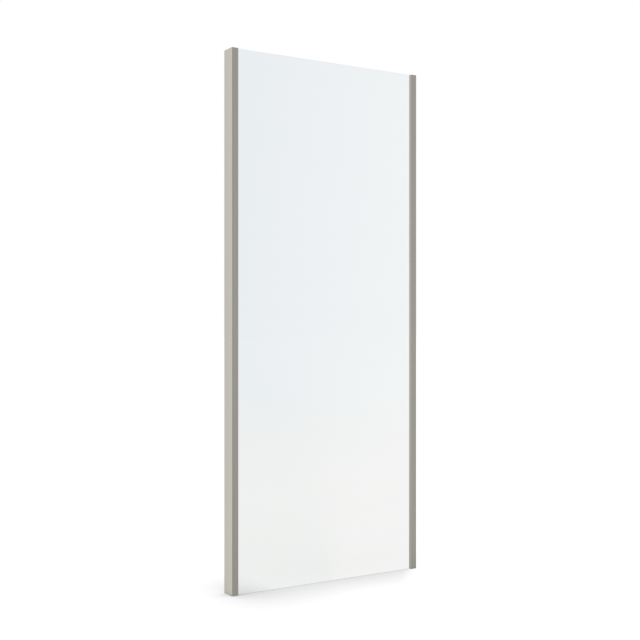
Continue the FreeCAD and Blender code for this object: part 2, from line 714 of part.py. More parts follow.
def hinges():
    rows = [f"{centre} + {step} * leaf_screw_spacing" for centre in HINGES.values() for step in LEAF_SCREWS]
    for name, centre in HINGES.items():
        moving_leaf(name, centre)
        fixed_leaf(name, centre)
        hinge_pin(name, centre)
    hinge_washers()
    seat = f"(-{INNER_FACE} + leaf_thickness)"
    screws("moving_leaf_screws", [(seat, f"{FRONT} + {CHANNEL_LINE}", row) for row in rows],
           -X, "frame_screw_length")
    screws("fixed_leaf_screws", [(LEAF_SCREW_X, LEAF_FRONT, row) for row in rows], Y, "leaf_screw_length")


# ---------------------------------------------------------------- carrier
def slide_screw_places(x):
    return [
        (f"{x} {sign} slide_screw_spacing / 2", height)
        for height in SLIDES.values() for sign in ("-", "+")
    ]


def front_upright():
    """A folded strip that carries the hinges and ties the two slides together at the pull edge."""
    body = new_body("front_upright")
    outline = new_sketch(body, "XY", "upright_margin")
    edge, end = UPRIGHT_X, f"{UPRIGHT_X} + upright_width"
    add_polygon(outline, [
        (edge, UPRIGHT_FRONT), (end, UPRIGHT_FRONT), (end, SLIDE_FACE),
        (f"{edge} + upright_thickness", SLIDE_FACE),
        (f"{edge} + upright_thickness", f"{SLIDE_FACE} + upright_flange"),
        (edge, f"{SLIDE_FACE} + upright_flange"),
    ])
    pad(body, outline, "frame_height - 2 * upright_margin")
    holes = new_sketch(body, "XZ", UPRIGHT_FRONT)
    for place in slide_screw_places(FRONT_SCREW_X):
        add_screw_hole(holes, place, "screw_radius + hole_play")
    for centre in HINGES.values():
        for step in LEAF_SCREWS:
            add_screw_hole(holes, (LEAF_SCREW_X, f"{centre} + {step} * leaf_screw_spacing"),
                           "screw_radius + thread_play")
    pocket(body, holes)
    window = new_sketch(body, "XZ", UPRIGHT_FRONT)
    middle = f"({edge} + upright_thickness + {end}) / 2"
    step = "(window_height + window_bar_height)"
    low = f"{MID_HEIGHT} - {WINDOWS / 2} * {step} + window_bar_height / 2"
    add_rectangle(window, f"{middle} - window_width / 2", f"{middle} + window_width / 2",
                  low, f"{low} + window_height")
    repeat(body, pocket(body, window), "Z", f"{WINDOWS - 1} * {step}", str(WINDOWS))


def rear_upright():
    """A flat strip that keeps the two slides in step at their inner end."""
    body = new_body("rear_upright")
    outline = new_sketch(body, "XZ", SLIDE_FACE)
    add_rectangle(outline, f"{REAR_UPRIGHT_END} - rear_upright_width", REAR_UPRIGHT_END,
                  f"{SLIDES['lower']} - rear_upright_margin", f"{SLIDES['upper']} + rear_upright_margin")
    pad(body, outline, "upright_thickness")
    holes = new_sketch(body, "XZ", UPRIGHT_FRONT)
    for place in slide_screw_places(REAR_UPRIGHT_X):
        add_screw_hole(holes, place, "screw_radius + hole_play")
    for sign in ("-", "+"):
        add_screw_hole(holes, (REAR_UPRIGHT_X, f"{MID_HEIGHT} {sign} {EAR_SCREW}"),
                       "screw_radius + thread_play")
    pocket(body, holes)


def magnetic_catch():
    """A plastic housing with a magnet, on the rear upright, and its steel strike on the frame."""
    half_width = "catch_width / 2"
    body = new_body("catch_housing")
    ears = new_sketch(body, "XZ", UPRIGHT_FRONT)
    ear_end = "(catch_height / 2 + catch_ear)"
    add_rectangle(ears, f"{REAR_UPRIGHT_X} - {half_width}", f"{REAR_UPRIGHT_X} + {half_width}",
                  f"{MID_HEIGHT} - {ear_end}", f"{MID_HEIGHT} + {ear_end}")
    plate = pad(body, ears, "catch_ear_thickness")
    ear_corners = [
        (f"{REAR_UPRIGHT_X} {across} {half_width}", f"{MID_HEIGHT} {up} {ear_end}")
        for across in "-+" for up in "-+"
    ]
    dress(body, "Chamfer", plate, edges_along(plate, Y, ear_corners), "catch_corner")
    block = new_sketch(body, "XZ", f"{UPRIGHT_FRONT} - catch_ear_thickness")
    add_rectangle(block, f"{REAR_UPRIGHT_X} - {half_width}", f"{REAR_UPRIGHT_X} + {half_width}",
                  f"{MID_HEIGHT} - catch_height / 2", f"{MID_HEIGHT} + catch_height / 2")
    block_depth = f"{UPRIGHT_FRONT} - catch_ear_thickness - {CATCH_FRONT}"
    pad(body, block, block_depth)
    seat = new_sketch(body, "XZ", CATCH_FRONT)
    add_rectangle(seat, f"{REAR_UPRIGHT_X} - magnet_width / 2 - magnet_play",
                  f"{REAR_UPRIGHT_X} + magnet_width / 2 + magnet_play",
                  f"{MID_HEIGHT} - magnet_height / 2 - magnet_play",
                  f"{MID_HEIGHT} + magnet_height / 2 + magnet_play")
    pocket(body, seat, "magnet_depth")
    holes = new_sketch(body, "XZ", f"{UPRIGHT_FRONT} - catch_ear_thickness")
    ear_places = [(REAR_UPRIGHT_X, f"{MID_HEIGHT} {sign} {EAR_SCREW}") for sign in ("-", "+")]
    for place in ear_places:
        add_screw_hole(holes, place, "screw_radius + hole_play")
    pocket(body, holes)

    magnet = new_body("catch_magnet")
    slab = new_sketch(magnet, "XZ", f"{CATCH_FRONT} + magnet_depth")
    add_rectangle(slab, f"{REAR_UPRIGHT_X} - magnet_width / 2", f"{REAR_UPRIGHT_X} + magnet_width / 2",
                  f"{MID_HEIGHT} - magnet_height / 2", f"{MID_HEIGHT} + magnet_height / 2")
    pad(magnet, slab, "magnet_depth")

    strike = new_body("strike_plate")
    slab = new_sketch(strike, "XZ", STRIKE_BACK)
    add_rectangle(slab, f"{REAR_UPRIGHT_X} - {half_width}", f"{REAR_UPRIGHT_X} + {half_width}",
                  f"{MID_HEIGHT} - {ear_end}", f"{MID_HEIGHT} + {ear_end}")
    plate = pad(strike, slab, "strike_thickness")
    dress(strike, "Chamfer", plate, edges_along(plate, Y, ear_corners), "catch_corner")
    holes = new_sketch(strike, "XZ", RAIL_BACK)
    for place in ear_places:
        add_screw_hole(holes, place, "screw_radius + hole_play")
    pocket(strike, holes)

    screws("strike_screws", [(x, STRIKE_BACK, z) for x, z in ear_places], -Y, "strike_screw_length")
    screws("catch_screws", [(x, f"{UPRIGHT_FRONT} - catch_ear_thickness", z) for x, z in ear_places],
           Y, "ear_screw_length")


def carrier():
    front_upright()
    rear_upright()
    magnetic_catch()
    places = slide_screw_places(FRONT_SCREW_X) + slide_screw_places(REAR_UPRIGHT_X)
    screws("slide_screws", [(x, UPRIGHT_FRONT, z) for x, z in places], Y, "slide_screw_length")


# ---------------------------------------------------------------- ball-bearing slides
def from_panel(deep, up, centre):
    """A place in the section of a slide, from the wardrobe's panel and the slide's centre line."""
    return f"{PANEL} - ({deep})", f"{centre} + {up}"


def channel_section(centre, web_front, web_back, reach, top, under):
    """A C-shaped outline: a web, and a flange of one thickness at its top and bottom."""
    half = [(web_back, top), (reach, top), (reach, under), (web_front, under)]
    lower = [(deep, f"-({up})") for deep, up in half]
    outline = half + lower[::-1]
    return [from_panel(deep, up, centre) for deep, up in outline]


def slide_member(label, centre, section, races, length, start=SLIDE_START):
    body = new_body(label)
    outline = new_sketch(body, "YZ", start)
    add_polygon(outline, channel_section(centre, *section))
    bar = pad(body, outline, length)
    if races:
        grooves = new_sketch(body, "YZ", start)
        for race in races:
            for sign in ("-", "+"):
                place = from_panel("ball_line", f"{sign}({race})", centre)
                add_circle(grooves, place, "ball_radius + ball_play")
        bar = pocket(body, grooves, reverse=True)
    return body, bar


def access_openings(body, face, centre):
    """Openings for a screwdriver, one in front of each fixing hole of the cabinet member."""
    openings = new_sketch(body, "XZ", f"{PANEL} - ({face})")
    for x in MOUNT_X:
        add_rectangle(openings, f"{x} - access_width / 2", f"{x} + access_width / 2",
                      f"{centre} - access_height / 2", f"{centre} + access_height / 2")
    pocket(body, openings)


def cabinet_member(name, centre):
    top = "slide_height / 2"
    section = ("slide_wall", "0", "outer_flange_reach", top, f"{top} - outer_flange")
    body, bar = slide_member(f"slide_outer_{name}", centre, section, [OUTER_RACE], SLIDE_LENGTH)
    corners = [from_panel("0", f"{sign}{top}", centre) for sign in ("-", "")]
    dress(body, "Fillet", bar, edges_along(bar, X, corners), "slide_corner")
    holes = new_sketch(body, "XZ", f"{PANEL} - slide_wall")
    for x in MOUNT_X:
        add_circle(holes, (x, centre), "mount_hole_radius")
    pocket(body, holes)


def middle_member(name, centre):
    section = (f"{MIDDLE_WEB} + slide_wall", MIDDLE_WEB, "middle_flange_reach", MIDDLE_TOP, MIDDLE_UNDER)
    body, _ = slide_member(f"slide_middle_{name}", centre, section, [OUTER_RACE, INNER_RACE], MEMBER_LENGTH)
    access_openings(body, f"{MIDDLE_WEB} + slide_wall", centre)


def inner_member(name, centre):
    face = "slide_thickness"
    section = (f"{face} - slide_wall", face, f"{face} - inner_flange_reach",
               INNER_TOP, f"{INNER_TOP} - inner_flange")
    body, _ = slide_member(f"slide_inner_{name}", centre, section, [INNER_RACE], MEMBER_LENGTH)
    access_openings(body, face, centre)
    tapped = new_sketch(body, "XZ", f"{PANEL} - {face}")
    for x in (FRONT_SCREW_X, REAR_UPRIGHT_X):
        for sign in ("-", "+"):
            place = (f"{x} {sign} slide_screw_spacing / 2", centre)
            add_screw_hole(tapped, place, "screw_radius + thread_play")
    pocket(body, tapped)


def ball_cage(name, centre, which, web, race):
    """A thin retainer with a row of windows in each flange, and a ball in each window."""
    section = (f"{web} + cage_web", web, "middle_flange_reach",
               f"{race} + cage_flange / 2", f"{race} - cage_flange / 2")
    start = f"({MEMBER_MIDDLE} - cage_length / 2)"
    body, _ = slide_member(f"cage_{which}_{name}", centre, section, [], "cage_length", start)
    row = "(cage_length - 2 * cage_end_length)"
    first = f"({MEMBER_MIDDLE} - {row} / 2)"
    window = new_sketch(body, "XY", f"{centre} + slide_height / 2")
    room = "(ball_radius + cage_window_play)"
    add_rectangle(window, f"{first} - {room}", f"{first} + {room}",
                  f"{PANEL} - ball_line - {room}", f"{PANEL} - ball_line + {room}")
    repeat(body, pocket(body, window), "X", row, "ball_count")
    balls = []
    for number in range(round(value("ball_count"))):
        along = f"{first} + {number} * {row} / (ball_count - 1)"
        for sign, level in (("-", "low"), ("+", "high")):
            ball = doc.addObject("Part::Feature", f"ball_{which}_{name}_{number}_{level}")
            ball.Shape = faceted_ball(value("ball_radius"))
            place_at(ball, (along, f"{PANEL} - ball_line", f"{centre} {sign} {race}"))
            balls.append(ball)
    group(f"balls_{which}_{name}", balls)


def end_buffer(name, centre):
    """A rubber stop clipped across the inner end of the cabinet member."""
    body = new_body(f"slide_buffer_{name}")
    outline = new_sketch(body, "YZ", f"{MEMBER_END} + buffer_play")
    top = f"({OUTER_RACE} - ball_radius)"
    low_y, high_y = f"{PANEL} - middle_flange_reach", f"{PANEL} - slide_wall"
    add_rectangle(outline, low_y, high_y, f"{centre} - {top}", f"{centre} + {top}")
    pad(body, outline, "buffer_length - buffer_play")


def slides():
    for name, centre in SLIDES.items():
        cabinet_member(name, centre)
        middle_member(name, centre)
        inner_member(name, centre)
        ball_cage(name, centre, "outer", OUTER_CAGE_WEB, OUTER_RACE)
        ball_cage(name, centre, "inner", INNER_CAGE_WEB, INNER_RACE)
        end_buffer(name, centre)


# ---------------------------------------------------------------- the whole
def check():
    """Every object has to be in order, and every sub-part a valid shape."""
    doc.recompute()
    for thing in doc.Objects:
        if {"Invalid", "Error"} & set(thing.State):
            raise ValueError(f"{thing.Label}: {thing.State}")
    for thing in subparts:
        if thing.Shape.isNull() or not thing.Shape.isValid() or thing.Shape.Volume <= 0:
            raise ValueError(f"{thing.Label} has no valid shape")


def write():
    os.makedirs("parts", exist_ok=True)
    for thing in subparts:
        thing.Shape.exportStep(f"parts/{thing.Label}.step")


fill_sheet()
mirror_frame()
hinges()
carrier()
slides()
check()
write()
box = Part.makeCompound([thing.Shape for thing in subparts]).BoundBox
print(f"{len(subparts)} sub-parts, {box.XLength:.2f} x {box.YLength:.2f} x {box.ZLength:.2f} mm")
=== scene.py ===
"""Looks of the pull-out closet mirror: finishes, broken edges, fasteners, balls, studio, camera."""

import json
import math

import bmesh
import bpy
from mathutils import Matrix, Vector

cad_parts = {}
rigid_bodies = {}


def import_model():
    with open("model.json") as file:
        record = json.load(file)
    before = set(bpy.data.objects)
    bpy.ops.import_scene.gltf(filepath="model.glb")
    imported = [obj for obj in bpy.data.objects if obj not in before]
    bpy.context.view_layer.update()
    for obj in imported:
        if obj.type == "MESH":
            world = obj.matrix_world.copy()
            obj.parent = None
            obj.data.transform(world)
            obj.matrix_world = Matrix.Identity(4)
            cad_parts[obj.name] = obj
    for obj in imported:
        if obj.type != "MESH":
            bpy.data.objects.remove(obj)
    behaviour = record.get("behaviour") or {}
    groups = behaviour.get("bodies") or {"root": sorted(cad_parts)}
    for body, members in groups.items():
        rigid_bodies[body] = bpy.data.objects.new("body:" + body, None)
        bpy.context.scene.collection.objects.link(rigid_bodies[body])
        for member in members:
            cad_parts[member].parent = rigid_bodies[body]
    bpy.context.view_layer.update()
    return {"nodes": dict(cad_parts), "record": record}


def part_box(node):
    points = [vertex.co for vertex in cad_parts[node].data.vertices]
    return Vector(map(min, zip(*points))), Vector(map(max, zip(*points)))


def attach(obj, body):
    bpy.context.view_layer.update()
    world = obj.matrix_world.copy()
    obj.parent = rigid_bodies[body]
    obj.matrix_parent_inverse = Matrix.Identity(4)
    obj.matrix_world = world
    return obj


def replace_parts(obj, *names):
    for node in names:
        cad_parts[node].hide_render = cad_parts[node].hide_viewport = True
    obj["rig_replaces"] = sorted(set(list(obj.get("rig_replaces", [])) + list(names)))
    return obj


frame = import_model()

MM = 0.001
WELD = 0.002 * MM  # corners nearer to each other than this are one corner
FLAT = math.radians(1)  # faces that differ by less than this are one face
SHARP = math.radians(40)  # edges that turn by more than this are sharp
X, Y, Z = Vector((1, 0, 0)), Vector((0, 1, 0)), Vector((0, 0, 1))
CORNERS = ((-1, -1), (1, -1), (1, 1), (-1, 1))  # of a square, in order
HALF_WIDTH, HALF_HEIGHT = 0.25, 0.6  # of the closed mirror
scene = bpy.context.scene
body_of = {
    node: body
    for body, nodes in frame["record"]["behaviour"]["bodies"].items()
    for node in nodes
}
slot_of = {row["node"]: row["material_slot"] for row in frame["record"]["subparts"]}


# ---------------------------------------------------------------- nodes and colours
WHITE = (1, 1, 1, 1)
# the sockets of a Mix node of colours, which share their names with those of its other kinds.
# The inputs of a Math node all share one name, so they go by number too
SHARE, FIRST, SECOND, MIXED = 0, 6, 7, 2


def paint(colour):
    """A written sRGB colour as the linear one that shaders take."""
    channels = [int(colour[i:i + 2], 16) / 255 for i in (1, 3, 5)]
    linear = [c / 12.92 if c <= 0.04045 else ((c + 0.055) / 1.055) ** 2.4 for c in channels]
    return (*linear, 1)


def feed(tree, node, inputs):
    """Gives each of these inputs of a node its value, or the socket that feeds it."""
    for name, given in inputs.items():
        if isinstance(given, bpy.types.NodeSocket):
            tree.links.new(given, node.inputs[name])
        else:
            node.inputs[name].default_value = given


def add(tree, kind, inputs=None, **settings):
    """Adds a node with its settings and its inputs."""
    node = tree.nodes.new(kind)
    for name, setting in settings.items():
        setattr(node, name, setting)
    feed(tree, node, inputs or {})
    return node


def new_finish(name, metallic, roughness):
    """A material with its shader, and the place on the part in metres for its patterns."""
    material = bpy.data.materials.new(name)
    material.use_nodes = True
    tree = material.node_tree
    shader = tree.nodes["Principled BSDF"]
    feed(tree, shader, {"Metallic": metallic, "Roughness": roughness})
    place = add(tree, "ShaderNodeTexCoord").outputs["Object"]
    return material, tree, shader, place


# ---------------------------------------------------------------- finishes
def drawn_metal(name, light, dark, roughness, line, along, relief):
    """Extruded or rolled metal: lines as wide as line mm run along one axis, as the die or the
    rolls leave them. They shade the colour a little, and a highlight breaks up along them."""
    material, tree, shader, place = new_finish(name, metallic=1, roughness=roughness)
    run = 700  # mm before a line changes
    stretch = [1 / (line * MM)] * 3
    stretch["XYZ".index(along)] = 1 / (run * MM)
    stretched = add(tree, "ShaderNodeMapping", {"Vector": place, "Scale": stretch})
    lines = add(tree, "ShaderNodeTexNoise", {
        "Vector": stretched.outputs["Vector"], "Scale": 1, "Detail": 3, "Roughness": 0.5,
    }).outputs["Fac"]
    # the etched grain is 0.05 mm, drawn as coarse as 0.6 mm so that it shows
    grain = add(tree, "ShaderNodeTexNoise", {
        "Vector": place, "Scale": 1 / (0.6 * MM), "Detail": 2,
    }).outputs["Fac"]
    tone = add(tree, "ShaderNodeMapRange", {"Value": lines, "From Min": 0.3, "From Max": 0.7})
    colour = add(tree, "ShaderNodeMix", {
        SHARE: tone.outputs["Result"], FIRST: paint(dark), SECOND: paint(light),
    }, data_type="RGBA")
    worn = add(tree, "ShaderNodeMath", {0: lines, 1: grain}, operation="ADD").outputs["Value"]
    gloss = add(tree, "ShaderNodeMapRange", {
        "Value": worn, "From Min": 0.6, "From Max": 1.4,
        "To Min": roughness - 0.05, "To Max": roughness + 0.06,
    })
    bump = add(tree, "ShaderNodeBump", {
        "Height": worn, "Strength": relief, "Distance": 0.05 * MM,
    })
    feed(tree, shader, {
        "Base Color": colour.outputs[MIXED], "Roughness": gloss.outputs["Result"],
        "Normal": bump.outputs["Normal"],
    })
    return material


def silvered_glass():
    """Silvered float glass: a sharp, faintly green reflection, a trace uneven where a cloth wiped
    it in level strokes, about 330 mm long and 80 mm high."""
    material, tree, shader, place = new_finish("silvered_float_glass", metallic=1, roughness=0)
    strokes = add(tree, "ShaderNodeMapping", {
        "Vector": place, "Rotation": (0, math.radians(24), 0), "Scale": (3, 3, 12),
    })
    wiped = add(tree, "ShaderNodeTexNoise", {
        "Vector": strokes.outputs["Vector"], "Scale": 1, "Detail": 4, "Roughness": 0.6,
    })
    silver = add(tree, "ShaderNodeMix", {
        SHARE: wiped.outputs["Fac"], FIRST: paint("#F4F7F4"), SECOND: paint("#F7F9F6"),
    }, data_type="RGBA")
    feed(tree, shader, {"Base Color": silver.outputs[MIXED]})
    return material


def ground_glass():
    """The ground and arrissed edge of float glass: frosted, and greener than the face."""
    material, tree, shader, place = new_finish("ground_glass_edge", metallic=0, roughness=0.35)
    # the wheel's grit is 0.1 mm, drawn as coarse as 0.8 mm so that it shows
    wheel = add(tree, "ShaderNodeTexNoise", {
        "Vector": place, "Scale": 1 / (0.8 * MM), "Detail": 3,
    }).outputs["Fac"]
    tint = add(tree, "ShaderNodeMix", {
        SHARE: wheel, FIRST: paint("#C3CFC9"), SECOND: paint("#DBE4E0"),
    }, data_type="RGBA")
    bump = add(tree, "ShaderNodeBump", {
        "Height": wheel, "Strength": 0.2, "Distance": 0.05 * MM,
    })
    feed(tree, shader, {
        "IOR": 1.52, "Base Color": tint.outputs[MIXED], "Normal": bump.outputs["Normal"],
    })
    return material


def backing_paint():
    """The grey protective paint behind the silver: matt, and uneven every 3 mm from its roller."""
    material, tree, shader, place = new_finish("mirror_backing_paint", metallic=0, roughness=0.5)
    rolled = add(tree, "ShaderNodeTexNoise", {
        "Vector": place, "Scale": 1 / (3 * MM), "Detail": 3,
    })
    colour = add(tree, "ShaderNodeMix", {
        SHARE: rolled.outputs["Fac"], FIRST: paint("#6E7A78"), SECOND: paint("#7A8684"),
    }, data_type="RGBA")
    feed(tree, shader, {"Base Color": colour.outputs[MIXED]})
    return material


def woven_film():
    """Polyester safety film with a woven backing: a grid of pale threads that stand proud."""
    material, tree, shader, place = new_finish("woven_safety_film", metallic=0, roughness=0.45)
    # real threads are 1.2 mm apart. These come out 2.4 mm apart, as a wave's bands are tau / 20
    # apart at a scale of 1
    scale = 1 / (1.2 * MM) / math.tau
    warp, weft = [
        add(tree, "ShaderNodeTexWave", {
            "Vector": place, "Scale": scale, "Distortion": 0.4,
        }, bands_direction=axis).outputs["Fac"]
        for axis in "XZ"
    ]
    threads = add(tree, "ShaderNodeMath", {0: warp, 1: weft}, operation="MAXIMUM").outputs["Value"]
    colour = add(tree, "ShaderNodeMix", {
        SHARE: threads, FIRST: paint("#B4BFC2"), SECOND: paint("#CBD4D6"),
    }, data_type="RGBA")
    bump = add(tree, "ShaderNodeBump", {
        "Height": threads, "Strength": 0.4, "Distance": 0.1 * MM,
    })
    feed(tree, shader, {"Base Color": colour.outputs[MIXED], "Normal": bump.outputs["Normal"]})
    return material


def lacquered_hardboard():
    """Hardboard with a thin roller-coated lacquer: a soft stipple 2 mm apart, and fibres about
    6 mm long that just show through."""
    material, tree, shader, place = new_finish("lacquered_hardboard", metallic=0, roughness=0.5)
    stipple = add(tree, "ShaderNodeTexNoise", {
        "Vector": place, "Scale": 1 / (2 * MM), "Detail": 4,
    }).outputs["Fac"]
    fibres = add(tree, "ShaderNodeMapping", {
        "Vector": place, "Scale": (1 / (2 * MM), 1 / (2 * MM), 1 / (6 * MM)),
    })
    fibre = add(tree, "ShaderNodeTexNoise", {
        "Vector": fibres.outputs["Vector"], "Scale": 1, "Detail": 5, "Roughness": 0.7,
    }).outputs["Fac"]
    tone = add(tree, "ShaderNodeMapRange", {"Value": fibre, "From Min": 0.3, "From Max": 0.7})
    colour = add(tree, "ShaderNodeMix", {
        SHARE: tone.outputs["Result"], FIRST: paint("#CCCAC3"), SECOND: paint("#D4D2CC"),
    }, data_type="RGBA")
    gloss = add(tree, "ShaderNodeMapRange", {"Value": stipple, "To Min": 0.42, "To Max": 0.6})
    bump = add(tree, "ShaderNodeBump", {
        "Height": stipple, "Strength": 0.25, "Distance": 0.1 * MM,
    })
    feed(tree, shader, {
        "Base Color": colour.outputs[MIXED], "Roughness": gloss.outputs["Result"],
        "Normal": bump.outputs["Normal"],
    })
    return material


def zinc_plate(name, light, dark, roughness):
    """Electroplated zinc with a clear passivation: clouds of blue-grey about 14 mm across, over a
    fine matt grain."""
    material, tree, shader, place = new_finish(name, metallic=1, roughness=roughness)
    cloud = add(tree, "ShaderNodeTexNoise", {
        "Vector": place, "Scale": 1 / (14 * MM), "Detail": 5,
    }).outputs["Fac"]
    # the plated grain is 0.02 mm, drawn as coarse as 0.5 mm so that it shows
    grain = add(tree, "ShaderNodeTexNoise", {
        "Vector": place, "Scale": 1 / (0.5 * MM), "Detail": 2,
    }).outputs["Fac"]
    tone = add(tree, "ShaderNodeMapRange", {"Value": cloud, "From Min": 0.35, "From Max": 0.65})
    colour = add(tree, "ShaderNodeMix", {
        SHARE: tone.outputs["Result"], FIRST: paint(dark), SECOND: paint(light),
    }, data_type="RGBA")
    gloss = add(tree, "ShaderNodeMapRange", {
        "Value": grain, "To Min": roughness - 0.08, "To Max": roughness + 0.08,
    })
    bump = add(tree, "ShaderNodeBump", {
        "Height": grain, "Strength": 0.15, "Distance": 0.03 * MM,
    })
    feed(tree, shader, {
        "Base Color": colour.outputs[MIXED], "Roughness": gloss.outputs["Result"],
        "Normal": bump.outputs["Normal"],
    })
    return material


def powder_coat():
    """Fine-texture powder coat: small soft pimples about 0.9 mm apart under a satin skin, whose
    tone drifts every 40 mm or so."""
    material, tree, shader, place = new_finish(
        "fine_texture_powder_coat", metallic=0, roughness=0.5,
    )
    pimples = add(tree, "ShaderNodeTexVoronoi", {
        "Vector": place, "Scale": 1 / (0.9 * MM), "Smoothness": 0.8,
    }, feature="SMOOTH_F1").outputs["Distance"]
    shade = add(tree, "ShaderNodeTexNoise", {
        "Vector": place, "Scale": 1 / (40 * MM), "Detail": 3,
    })
    colour = add(tree, "ShaderNodeMix", {
        SHARE: shade.outputs["Fac"], FIRST: paint("#96968F"), SECOND: paint("#A1A19B"),
    }, data_type="RGBA")
    bump = add(tree, "ShaderNodeBump", {
        "Height": pimples, "Strength": 0.35, "Distance": 0.08 * MM,
    }, invert=True)
    feed(tree, shader, {"Base Color": colour.outputs[MIXED], "Normal": bump.outputs["Normal"]})
    return material


def bearing_steel():
    """Polished chrome steel, with the faint patches, 1.5 mm across, that lapping leaves."""
    material, tree, shader, place = new_finish(
        "polished_bearing_steel", metallic=1, roughness=0.08,
    )
    lapped = add(tree, "ShaderNodeTexNoise", {
        "Vector": place, "Scale": 1 / (1.5 * MM), "Detail": 3,
    }).outputs["Fac"]
    colour = add(tree, "ShaderNodeMix", {
        SHARE: lapped, FIRST: paint("#BFC0C2"), SECOND: paint("#CFD0D2"),
    }, data_type="RGBA")
    gloss = add(tree, "ShaderNodeMapRange", {"Value": lapped, "To Min": 0.04, "To Max": 0.14})
    feed(tree, shader, {
        "Base Color": colour.outputs[MIXED], "Roughness": gloss.outputs["Result"],
    })
    return material


def moulded(name, light, dark, roughness, grain_size, relief):
    """Moulded plastic or rubber: the matt grain that a spark-eroded mould leaves. It is 0.1 mm,
    drawn as coarse as grain_size mm so that it shows."""
    material, tree, shader, place = new_finish(name, metallic=0, roughness=roughness)
    grain = add(tree, "ShaderNodeTexNoise", {
        "Vector": place, "Scale": 1 / (grain_size * MM), "Detail": 3,
    }).outputs["Fac"]
    colour = add(tree, "ShaderNodeMix", {
        SHARE: grain, FIRST: paint(dark), SECOND: paint(light),
    }, data_type="RGBA")
    gloss = add(tree, "ShaderNodeMapRange", {
        "Value": grain, "To Min": roughness - 0.08, "To Max": roughness + 0.08,
    })
    bump = add(tree, "ShaderNodeBump", {
        "Height": grain, "Strength": relief, "Distance": 0.06 * MM,
    })
    feed(tree, shader, {
        "Base Color": colour.outputs[MIXED], "Roughness": gloss.outputs["Result"],
        "Normal": bump.outputs["Normal"],
    })
    return material


FINISHES = {
    "anodised_profile": drawn_metal(
        "satin_anodised_aluminium", light="#C3C0B7", dark="#BEBBB2",
        roughness=0.42, line=1.5, along="Z", relief=0.06,
    ),
    "mill_aluminium": drawn_metal(
        "mill_finish_aluminium", light="#C8C9CA", dark="#BFC0C2",
        roughness=0.32, line=1.2, along="X", relief=0.12,
    ),
    "safety_film": woven_film(),
    "lacquered_board": lacquered_hardboard(),
    "zinc_steel": zinc_plate(
        "zinc_plated_steel", light="#BCC0C4", dark="#A9ADB2", roughness=0.34,
    ),
    "coated_steel": powder_coat(),
    "slide_steel": drawn_metal(
        "roll_formed_zinc_steel", light="#C0C3C6", dark="#B6B9BD",
        roughness=0.33, line=0.9, along="X", relief=0.1,
    ),
    "ball_steel": bearing_steel(),
    "fastener_steel": zinc_plate(
        "zinc_plated_fasteners", light="#C6C8CA", dark="#B2B5B8", roughness=0.28,
    ),
    "nylon": moulded(
        "black_moulded_nylon", light="#2B2B2C", dark="#222223",
        roughness=0.5, grain_size=0.8, relief=0.2,
    ),
    "rubber": moulded(
        "black_moulded_rubber", light="#262626", dark="#1C1C1C",
        roughness=0.75, grain_size=1.2, relief=0.3,
    ),
    "ferrite": moulded(
        "ground_ferrite", light="#3A3A3C", dark="#2C2C2E",
        roughness=0.45, grain_size=0.6, relief=0.25,
    ),
}
# how far the edges of each finish are broken or rolled over, in mm
EDGES = {
    "anodised_profile": 0.15, "mill_aluminium": 0.2, "safety_film": 0.03,
    "lacquered_board": 0.25, "zinc_steel": 0.3, "coated_steel": 0.45, "slide_steel": 0.2,
    "nylon": 0.4, "rubber": 0.5, "ferrite": 0.3,
}
GLASS_EDGE = 0.05


# ---------------------------------------------------------------- meshes
def new_piece(name, mesh_tools, materials):
    """An object of this mesh, at the origin, with its materials."""
    mesh = bpy.data.meshes.new(name)
    mesh_tools.to_mesh(mesh)
    mesh_tools.free()
    for material in materials:
        mesh.materials.append(material)
    piece = bpy.data.objects.new(name, mesh)
    scene.collection.objects.link(piece)
    return piece


def stand_for(piece, node):
    """The piece takes the place and the body of a CAD part, which is hidden."""
    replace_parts(piece, node)
    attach(piece, body_of[node])


def joined_copy(node):
    """A CAD part's mesh with its loose triangles joined into whole faces."""
    mesh_tools = bmesh.new()
    mesh_tools.from_mesh(frame["nodes"][node].data)
    bmesh.ops.remove_doubles(mesh_tools, verts=mesh_tools.verts, dist=WELD)
    return mesh_tools


def broken_edges(piece, width):
    """Rounds a piece's sharp edges and keeps its flats flat under smooth shading."""
    bevel = piece.modifiers.new("broken_edges", "BEVEL")
    bevel.width = width * MM
    bevel.segments = 2
    bevel.limit_method = "ANGLE"
    bevel.angle_limit = SHARP
    bevel.harden_normals = True


def finished(node, materials, edge, material_of=None):
    """A CAD part made ready for the eye: whole faces, broken edges, smooth curves, its finish."""
    mesh_tools = joined_copy(node)
    bmesh.ops.dissolve_limit(
        mesh_tools, angle_limit=FLAT, verts=mesh_tools.verts, edges=mesh_tools.edges,
    )
    bmesh.ops.recalc_face_normals(mesh_tools, faces=mesh_tools.faces)
    for face in mesh_tools.faces:
        face.smooth = True
        face.material_index = material_of(face) if material_of else 0
    piece = new_piece(f"{node}_finished", mesh_tools, materials)
    for layer in ("custom_normal", "sharp_face"):
        if layer in piece.data.attributes:
            piece.data.attributes.remove(piece.data.attributes[layer])
    piece.data.set_sharp_from_angle(angle=SHARP)
    broken_edges(piece, edge)
    stand_for(piece, node)


def solids_of(node):
    """Lowest and highest corner of each separate solid of a CAD part."""
    mesh_tools = joined_copy(node)
    left = set(mesh_tools.verts)
    boxes = []
    while left:
        reached = [left.pop()]
        for vertex in reached:
            for edge in vertex.link_edges:
                other = edge.other_vert(vertex)
                if other in left:
                    left.remove(other)
                    reached.append(other)
        places = [vertex.co for vertex in reached]
        low = Vector(min(place[i] for place in places) for i in range(3))
        high = Vector(max(place[i] for place in places) for i in range(3))
        boxes.append((low, high))
    mesh_tools.free()
    return sorted(boxes, key=lambda box: tuple(box[0]))


